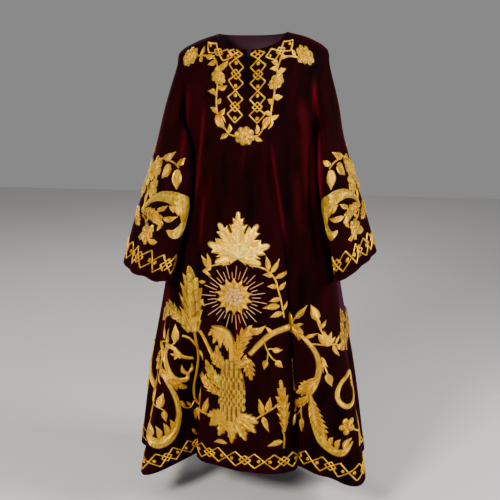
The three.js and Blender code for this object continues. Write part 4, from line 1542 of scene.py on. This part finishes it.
# %% Scrolls on the wearer's right
right_side = Work("scrolls_right", front.lay)
acanthus(
    right_side, [(-166, 908), (-176, 850), (-180, 780), (-184, 698)], (22, 44, 52, 40, 3), 6,
    (1.35, 0.45), 5.5, PURL_STITCH,
)
PLUME_RIB = [(-166, 905), (-174, 850), (-176, 780), (-184, 704)]
lined(right_side, PLUME_RIB, (9, 11, 9, 2), 8.5, PURL_STITCH, margin=3)
# Painted highlight: beads of the light gold along the plume's rib.
beads(right_side, PLUME_RIB, 3.6, 12, 10.5, PAINTED_HIGHLIGHT_STITCH)
acanthus(
    right_side, [(-178, 905), (-205, 858), (-255, 842), (-305, 862), (-340, 905)],
    (16, 24, 28, 24, 3), 7, (0.45, 1.2), 5, PURL_STITCH,
)
blade(
    right_side, [(-178, 900), (-208, 862), (-255, 850), (-300, 866)], (9, 11, 10, 4), 6,
    PURL_STITCH,
)
cord(
    right_side,
    [
        (-165, 900), (-168, 980), (-186, 1045), (-212, 1112), (-216, 1155), (-196, 1184),
        (-130, 1190),
    ],
    4.2, 3.4,
)
blade(right_side, [(-150, 905), (-128, 945), (-104, 990)], (5.5, 6.5, 6.5), 4, groove=0.5)
cord(right_side, [(-168, 962), (-182, 932), (-206, 918)], 4.0, 3.2)
leaf(right_side, -168, 975, -150, 1012, 14)
blade(
    right_side,
    [
        (-190, 1004), (-224, 988), (-240, 958), (-262, 952), (-280, 986), (-280, 1030),
        (-264, 1062), (-230, 1072), (-218, 1046),
    ],
    (5, 7, 8, 8, 9, 9, 8, 9, 5), 4.2,
)
leaf(right_side, -222, 1056, -234, 1016, 15, -0.2)
leaf(right_side, -220, 1052, -200, 1020, 13, 0.2)
for k in range(5):
    a = 2 * math.pi * k / 5
    leaf(right_side, -240, 980, -240 + 19 * math.sin(a), 980 - 19 * math.cos(a), 10)
cord(right_side, [(-262, 956), (-292, 950), (-330, 962)], 2.6)
bud(right_side, -232, 938, -226, 880, 30)
bud(right_side, -262, 944, -272, 904, 28)
cord(right_side, [(-232, 938), (-250, 950), (-262, 954)], 2.4)
each(
    leaf, right_side,
    ((-318, 950, -330, 905, 24), (-325, 975, -350, 1010, 20), (-340, 1020, -318, 1072, 22)), 0.1,
)
acanthus(
    right_side, [(-345, 968), (-318, 1010), (-292, 1050), (-262, 1085), (-236, 1102)],
    (6, 14, 20, 24, 3), 6, (0.9, 0.8), 5,
)
HOOK = [
    (-305, 1030), (-290, 1085), (-284, 1140), (-292, 1195), (-320, 1238), (-360, 1264),
    (-402, 1262), (-428, 1225), (-430, 1180),
]
lined(right_side, HOOK, (5, 7, 9, 10, 14, 20, 20, 13, 3), 5.5, PURL_STITCH, margin=1.8)
blade(right_side, HOOK, (2, 3, 4, 4, 6, 8, 8, 4, 1), 7.5, SATIN_STITCH)
each(
    leaf, right_side,
    (
        (-330, 1232, -326, 1196, 18), (-356, 1248, -352, 1200, 20), (-384, 1252, -378, 1206, 20),
        (-408, 1240, -398, 1200, 18),
    ),
    0.15, SATIN_STITCH, 6,
)
cord(right_side, [(-408, 1150), (-380, 1140), (-350, 1146), (-332, 1160)], 2.4)
each(
    bud, right_side,
    (
        (-352, 1146, -318, 1100, 30), (-380, 1140, -372, 1096, 24), (-334, 1160, -342, 1200, 24),
        (-392, 1148, -398, 1188, 18),
    ),
)
each(
    bud, right_side,
    (
        (-272, 1140, -256, 1172, 14), (-238, 1176, -252, 1150, 13), (-198, 1182, -184, 1114, 30),
        (-152, 1190, -126, 1130, 28), (-214, 1190, -234, 1232, 26), (-196, 1196, -176, 1226, 18),
        (-254, 1262, -240, 1298, 16),
    ),
)
cord(right_side, [(-278, 1150), (-262, 1172), (-240, 1178), (-222, 1160)], 2.2)
# The far side of the wide fold carries the same kind of work, where it turns out of sight.
acanthus(
    right_side, [(-400, 1010), (-430, 1050), (-452, 1110), (-460, 1170)], (8, 20, 24, 3), 6,
    height=5,
)
blade(
    right_side, [(-470, 1000), (-500, 1060), (-505, 1130), (-480, 1190), (-450, 1210)],
    (5, 12, 15, 12, 4), 5,
)
each(
    bud, right_side,
    ((-520, 1190, -500, 1235, 24), (-540, 1120, -560, 1165, 22), (-470, 1240, -500, 1272, 22)),
)
right_side.finish()

# %% [markdown]
# ## The scaled cone in the middle
# Between the scrolls stands a tall cone, like a pomegranate or a pine cone, covered in small
# scales that overlap like tiles. It is padded higher than anything else. Leaves curl out above
# it, and a collar of leaves holds it below.

# %% The cone
cone = Work("scaled_cone", front.lay)
CONE = (-44, 1092)
CONE_HALF, CONE_TALL = 47, 205
CONE_SHARES = (0.5, 0.95, 1, 0.84, 0.42)
CONE_RISE = 9
cone_line = [(CONE[0], CONE[1] + CONE_TALL / 2), CONE, (CONE[0], CONE[1] - CONE_TALL / 2)]
# Painted shade: the cone's ground is the dark gold, so it shows as shade between the scales.
blade(cone, cone_line, [CONE_HALF * share for share in CONE_SHARES], CONE_RISE, PAINTED_SHADE_UNDERLAY, groove=0)
SCALE, SCALE_ROWS, SCALE_RISE = 14.5, 15, 4.5
SCALE_WIDTHS = (5.2, 7.0, 6.2, 1.0)
# Half the width that the scales have at even heights, from the base up.
SCALE_ROOM = [26, 44, 46, 38, 18]
for row in range(SCALE_ROWS):
    share = (row + 0.5) / SCALE_ROWS
    y = CONE[1] + CONE_TALL * (0.5 - share)
    half = float(between_rows([0, 0.25, 0.5, 0.75, 1], SCALE_ROOM, np.array(share)))
    across = int(half * 2 / SCALE)
    for k in range(across):
        x = CONE[0] + (k - (across - 1) / 2) * SCALE
        lift = CONE_RISE * (1 - abs((x - CONE[0]) / (half + 6)) ** 2.4) + SCALE_RISE
        x += SCALE / 2 * (row % 2 - 0.5)
        blade(
            cone, [(x, y + 8), (x, y), (x, y - 8)], SCALE_WIDTHS, lift, PURL_STITCH, groove=0.1,
            broad=False,
        )
# The leaf on the left curls over: its stem bends outward and jagged lobes hang from the bend.
for spine in (
    [(-54, 908), (-60, 932), (-56, 962)], [(-64, 902), (-78, 924), (-82, 956)],
    [(-70, 898), (-92, 916), (-104, 944)], [(-76, 896), (-100, 902), (-120, 918)],
):
    lined(cone, spine, (9, 13, 1), 5.0, SATIN_STITCH, 3, 0.4)
lined(
    cone, [(-40, 1008), (-42, 955), (-52, 916), (-74, 896), (-108, 886)], (11, 10, 12, 12, 1), 7.5,
    SATIN_STITCH,
)
acanthus(cone, [(-34, 1004), (-18, 940), (8, 895), (44, 886)], (14, 26, 28, 3), 7, (1.1, 0.6), 5.5)
blade(cone, [(-34, 1006), (-20, 945), (6, 902), (40, 890)], (12, 13, 10, 3), 6.5)
acanthus(cone, [(-20, 1010), (6, 990), (14, 1020), (20, 1052)], (14, 24, 22, 3), 6, (1.0, 0.8), 5.5)
acanthus(cone, [(-76, 1020), (-98, 1000), (-104, 975)], (12, 20, 6), 4, (1, 1), 5)
acanthus(
    cone, [(-88, 1110), (-120, 1092), (-150, 1070), (-176, 1066)], (16, 26, 26, 4), 6, (1, 1), 4.5,
)
lined(cone, [(-72, 1088), (-108, 1052), (-134, 1004)], (12, 25, 22, 3), 4.2, PURL_STITCH, 5, 0.4)
lined(cone, [(-66, 1024), (-88, 986), (-92, 948)], (12, 20, 15, 2), 4.2, PURL_STITCH, 4, 0.4)
# The collar of leaves below the cone: turn from straight down in degrees, length.
COLLAR = ((-84, 72), (84, 72), (-58, 78), (58, 78), (-29, 82), (29, 82), (0, 88))
for k, (turn, length) in enumerate(COLLAR):
    a = math.radians(turn)
    foot = (CONE[0] + 16 * math.sin(a), CONE[1] + 84)
    tip = (foot[0] + length * math.sin(a), foot[1] + length * math.cos(a) + 10)
    middle = ((foot[0] + tip[0]) / 2 + 4 * math.sin(a), (foot[1] + tip[1]) / 2)
    lined(cone, [foot, middle, tip], (12, 22, 23, 16, 1), 6.5 + 0.3 * k, SATIN_STITCH, 5, 0.38)
leaf(cone, -62, 1278, -110, 1284, 18, 0.1)
cone.finish()

# %% [markdown]
# ## The scrolls on the wearer's left
# A thick stem arches from the cone over the deep fold. From it a scroll drops in leaves to the
# hem and turns up in a hook, and small sprays fill the room between.

# %% Scrolls on the wearer's left
left_side = Work("scrolls_left", front.lay)
scroll(
    left_side, [(14, 968), (46, 932), (80, 900), (122, 886), (165, 886), (208, 900)],
    (7, 8.5, 9, 10, 11, 8),
)
acanthus(
    left_side, [(150, 890), (180, 892), (206, 902), (214, 925)], (10, 22, 22, 3), 5, (0.3, 1.2), 5,
)
scroll(
    left_side,
    [(206, 898), (238, 922), (268, 952), (287, 990), (290, 1030), (282, 1070), (268, 1108)],
    (4, 6.5, 8, 9, 10, 11, 5),
)
acanthus(
    left_side, [(288, 1040), (272, 1068), (250, 1090), (222, 1108)], (12, 30, 34, 22, 3), 5,
    (1.2, 0.7), 5.5,
)
acanthus(
    left_side, [(272, 1108), (250, 1130), (215, 1150), (180, 1162)], (10, 20, 20, 6), 6, (0.7, 1),
    5,
)
blade(left_side, [(268, 1112), (240, 1134), (205, 1152), (165, 1165)], (8, 10, 9, 3), 5.5)
scroll(
    left_side,
    [(276, 1100), (290, 1150), (308, 1200), (336, 1244), (376, 1268), (414, 1262), (438, 1226)],
    (5, 10, 12, 13, 15, 12, 2),
    5.5,
)
acanthus(
    left_side, [(282, 1110), (302, 1160), (326, 1204), (352, 1236)], (10, 26, 28, 3), 7,
    (1.15, 0.2), 5.5,
)
each(
    leaf, left_side,
    ((368, 1256, 372, 1222, 20), (392, 1258, 398, 1220, 20), (414, 1250, 432, 1214, 20)), -0.15,
    SATIN_STITCH, 6,
)
# The ring on the wide fold at the wearer's left.
blade(
    left_side,
    [
        (428, 1072), (450, 1056), (434, 1036), (400, 1028), (370, 1040), (360, 1072), (372, 1102),
        (404, 1118), (446, 1112), (478, 1092), (494, 1070),
    ],
    (4, 7, 8, 8, 8, 8, 8, 8, 8, 7, 3), 4.5,
)
leaf(left_side, 446, 1060, 424, 1046, 14)
rose(left_side, 412, 1178, 27, 5, SATIN_STITCH)
cord(left_side, [(436, 1190), (470, 1208), (506, 1224)], 2.6)
bud(left_side, 500, 1222, 478, 1254, 26)
cord(left_side, [(505, 1226), (530, 1200), (538, 1160)], 2.6)
bud(left_side, 538, 1160, 532, 1112, 26)
# Stems and buds above and beside the arch.
cord(left_side, [(178, 884), (190, 856), (212, 832)], 2.6)
cord(left_side, [(252, 828), (262, 852), (276, 878), (296, 906)], 2.8)
each(
    bud, left_side,
    (
        (190, 858, 226, 806, 22), (176, 882, 168, 838, 20), (262, 852, 236, 804, 34),
        (272, 868, 262, 842, 12), (276, 876, 290, 846, 15), (196, 878, 222, 868, 14),
        (232, 912, 270, 892, 15),
    ),
)
for turn, length, width in ((-34, 40, 22), (-6, 44, 24), (26, 46, 24), (56, 44, 22)):
    a = math.radians(turn)
    leaf(
        left_side, 292, 926, 292 + length * math.sin(a), 926 - length * math.cos(a), width, 0.08,
        SATIN_STITCH, 5,
    )
cord(left_side, [(252, 932), (292, 928), (330, 924), (366, 946)], 3.0)
each(bud, left_side, ((322, 926, 352, 962, 16), (340, 930, 372, 944, 18), (330, 920, 348, 902, 14)))
cord(left_side, [(296, 985), (312, 1005), (322, 1022)], 2.6)
each(
    bud, left_side,
    ((320, 1018, 340, 1056, 32), (292, 968, 318, 996, 14), (296, 990, 306, 1020, 12)),
)
acanthus(
    left_side, [(366, 950), (372, 915), (398, 885), (436, 876), (470, 892)], (12, 26, 28, 22, 3), 8,
    (1.1, 0.5), 5.5, PURL_STITCH,
)
blade(
    left_side, [(366, 950), (376, 918), (402, 893), (440, 886), (478, 905)], (8, 11, 11, 10, 5), 6,
    PURL_STITCH,
)
acanthus(
    left_side, [(470, 990), (492, 950), (500, 905), (486, 862)], (14, 26, 26, 3), 7, (1, 1), 5,
    PURL_STITCH,
)
# Sprays between the cone and the deep fold.
cord(left_side, [(58, 922), (68, 950), (86, 978), (104, 990)], 2.4)
cord(left_side, [(68, 950), (80, 946), (88, 948)], 2.2)
cord(left_side, [(72, 960), (70, 980), (68, 990)], 2.2)
cord(left_side, [(30, 1186), (56, 1166), (92, 1140), (108, 1126)], 2.8)
cord(left_side, [(120, 1215), (128, 1245), (126, 1280)], 3.2)
each(
    bud, left_side,
    (
        (86, 950, 118, 952, 22), (68, 984, 60, 1016, 22), (98, 986, 120, 1010, 24),
        (54, 1168, 44, 1112, 24), (70, 1156, 80, 1104, 24), (58, 1172, 78, 1222, 22),
        (122, 1256, 72, 1270, 24), (26, 902, 64, 872, 22), (84, 898, 62, 876, 15),
    ),
)
acanthus(
    left_side, [(126, 1222), (124, 1170), (118, 1110), (112, 1048)], (10, 26, 30, 20, 3), 6,
    (1.2, 0.8), 5,
)
acanthus(
    left_side, [(176, 1100), (186, 1060), (180, 1020), (170, 992)], (10, 22, 18, 5), 6, (0.8, 1), 5,
)
cord(left_side, [(246, 1134), (250, 1170), (258, 1200)], 2.6)
cord(left_side, [(248, 1160), (236, 1180), (222, 1192)], 2.4)
each(
    bud, left_side,
    ((256, 1190, 262, 1238, 24), (232, 1186, 192, 1206, 24), (176, 1176, 160, 1210, 20)),
)
left_side.finish()

# %% [markdown]
# ## The sleeves
# Each sleeve has the same group, once as it is and once turned over: five roses, a spray, and a
# broad crescent leaf with a toothed hollow. It sits above the cuff, on the side that faces out
# when the arms hang down.


# %% The group on each sleeve
def sleeve_group(name, panel, hand, shift):
    """Draws the sleeve's group. hand 1 is the right sleeve's way round, -1 turned over."""

    def lay(x, y, height):
        return panel.lay(hand * x + shift, y, height)

    work = Work("sleeve_work_" + name, lay)
    cord(work, [(-150, 262), (-118, 250), (-82, 243), (-20, 243), (4, 252)], 2.8)
    each(
        leaf, work,
        (
            (-84, 240, -14, 214, 22), (-4, 244, 20, 220, 17), (-26, 256, -64, 294, 36),
            (4, 256, 8, 310, 36),
        ),
        0.1, SATIN_STITCH, 4.5,
    )
    for x, y, radius in ((-116, 272, 31), (-170, 292, 38), (-104, 326, 30), (-196, 338, 30)):
        rose(work, x, y, radius)
    each(
        leaf, work,
        ((-176, 238, -196, 214, 22), (-140, 350, -128, 376, 16), (-218, 300, -246, 320, 24)), 0.1,
    )
    cord(work, [(-150, 330), (-132, 345), (-130, 372), (-140, 394)], 3.2)
    # The crescent: a broad band, with teeth on its inner edge.
    blade(
        work,
        [
            (-138, 396), (-98, 364), (-48, 341), (6, 335), (56, 348), (82, 376), (76, 408),
            (48, 428), (20, 424),
        ],
        (4, 8, 12, 16, 21, 26, 27, 20, 3), 6.5, PURL_STITCH, groove=0.1,
    )
    acanthus(
        work, [(-120, 396), (-80, 392), (-40, 396), (-4, 414)], (10, 20, 22, 3), 6, (1, 0.8), 6,
    )
    blade(work, [(-130, 398), (-84, 394), (-44, 398), (-8, 416)], (6, 15, 16, 4), 7, PURL_STITCH)
    each(
        leaf, work,
        (
            (40, 376, 16, 354, 13), (56, 386, 36, 360, 13), (24, 372, 0, 356, 12),
            (64, 398, 44, 374, 13),
        ),
        0.1, SATIN_STITCH, 7,
    )
    leaf(work, -40, 376, -6, 358, 16, 0.1, SATIN_STITCH, 5)
    leaf(work, -10, 396, 40, 380, 18, 0.1, SATIN_STITCH, 5)
    acanthus(work, [(-172, 392), (-158, 420), (-132, 438)], (12, 22, 3), 5, (1, 1), 5)
    cord(work, [(-130, 408), (-98, 418), (-66, 430)], 3.0)
    rose(work, -66, 446, 26)
    acanthus(work, [(-40, 420), (-46, 448), (-52, 476)], (8, 18, 3), 4, (1, 0.6), 5)
    each(
        leaf, work,
        (
            (-72, 462, -120, 470, 24), (-42, 462, -8, 462, 17), (-8, 412, -24, 434, 15),
            (-90, 420, -72, 404, 12),
        ),
        0.1,
    )
    work.finish()


sleeve_group("right", sleeves["right"], 1, 0)
sleeve_group("left", sleeves["left"], -1, -12)
total = sum(
    len(polygon.vertices) - 2
    for o in bpy.data.objects if o.type == "MESH"
    for polygon in o.data.polygons
)
print("triangles in all:", total)

# %% The flat cut of each cloth
def flat_cut(grid, closed=False):
    """The flat width, length and area of a grid of points, in metres."""
    if closed:
        grid = np.concatenate([grid, grid[:, :1]], 1)
    across = np.linalg.norm(np.diff(grid, axis=1), axis=-1)
    upwards = np.linalg.norm(np.diff(grid, axis=0), axis=-1)
    a, b, c, d = grid[:-1, :-1], grid[:-1, 1:], grid[1:, 1:], grid[1:, :-1]
    area = 0.5 * np.linalg.norm(np.cross(c - a, d - b), axis=-1).sum() * MM**2
    width, length = across.sum(1).max() * MM, upwards.sum(0).max() * MM
    return (round(float(width), 3), round(float(length), 3)), min(float(area), width * length)


flat_cut(front.grid)
flat_cut(back.grid)
for name, panel in sleeves.items():
    flat_cut(panel.grid, True)
    cloth, points = cuff_satin[name]
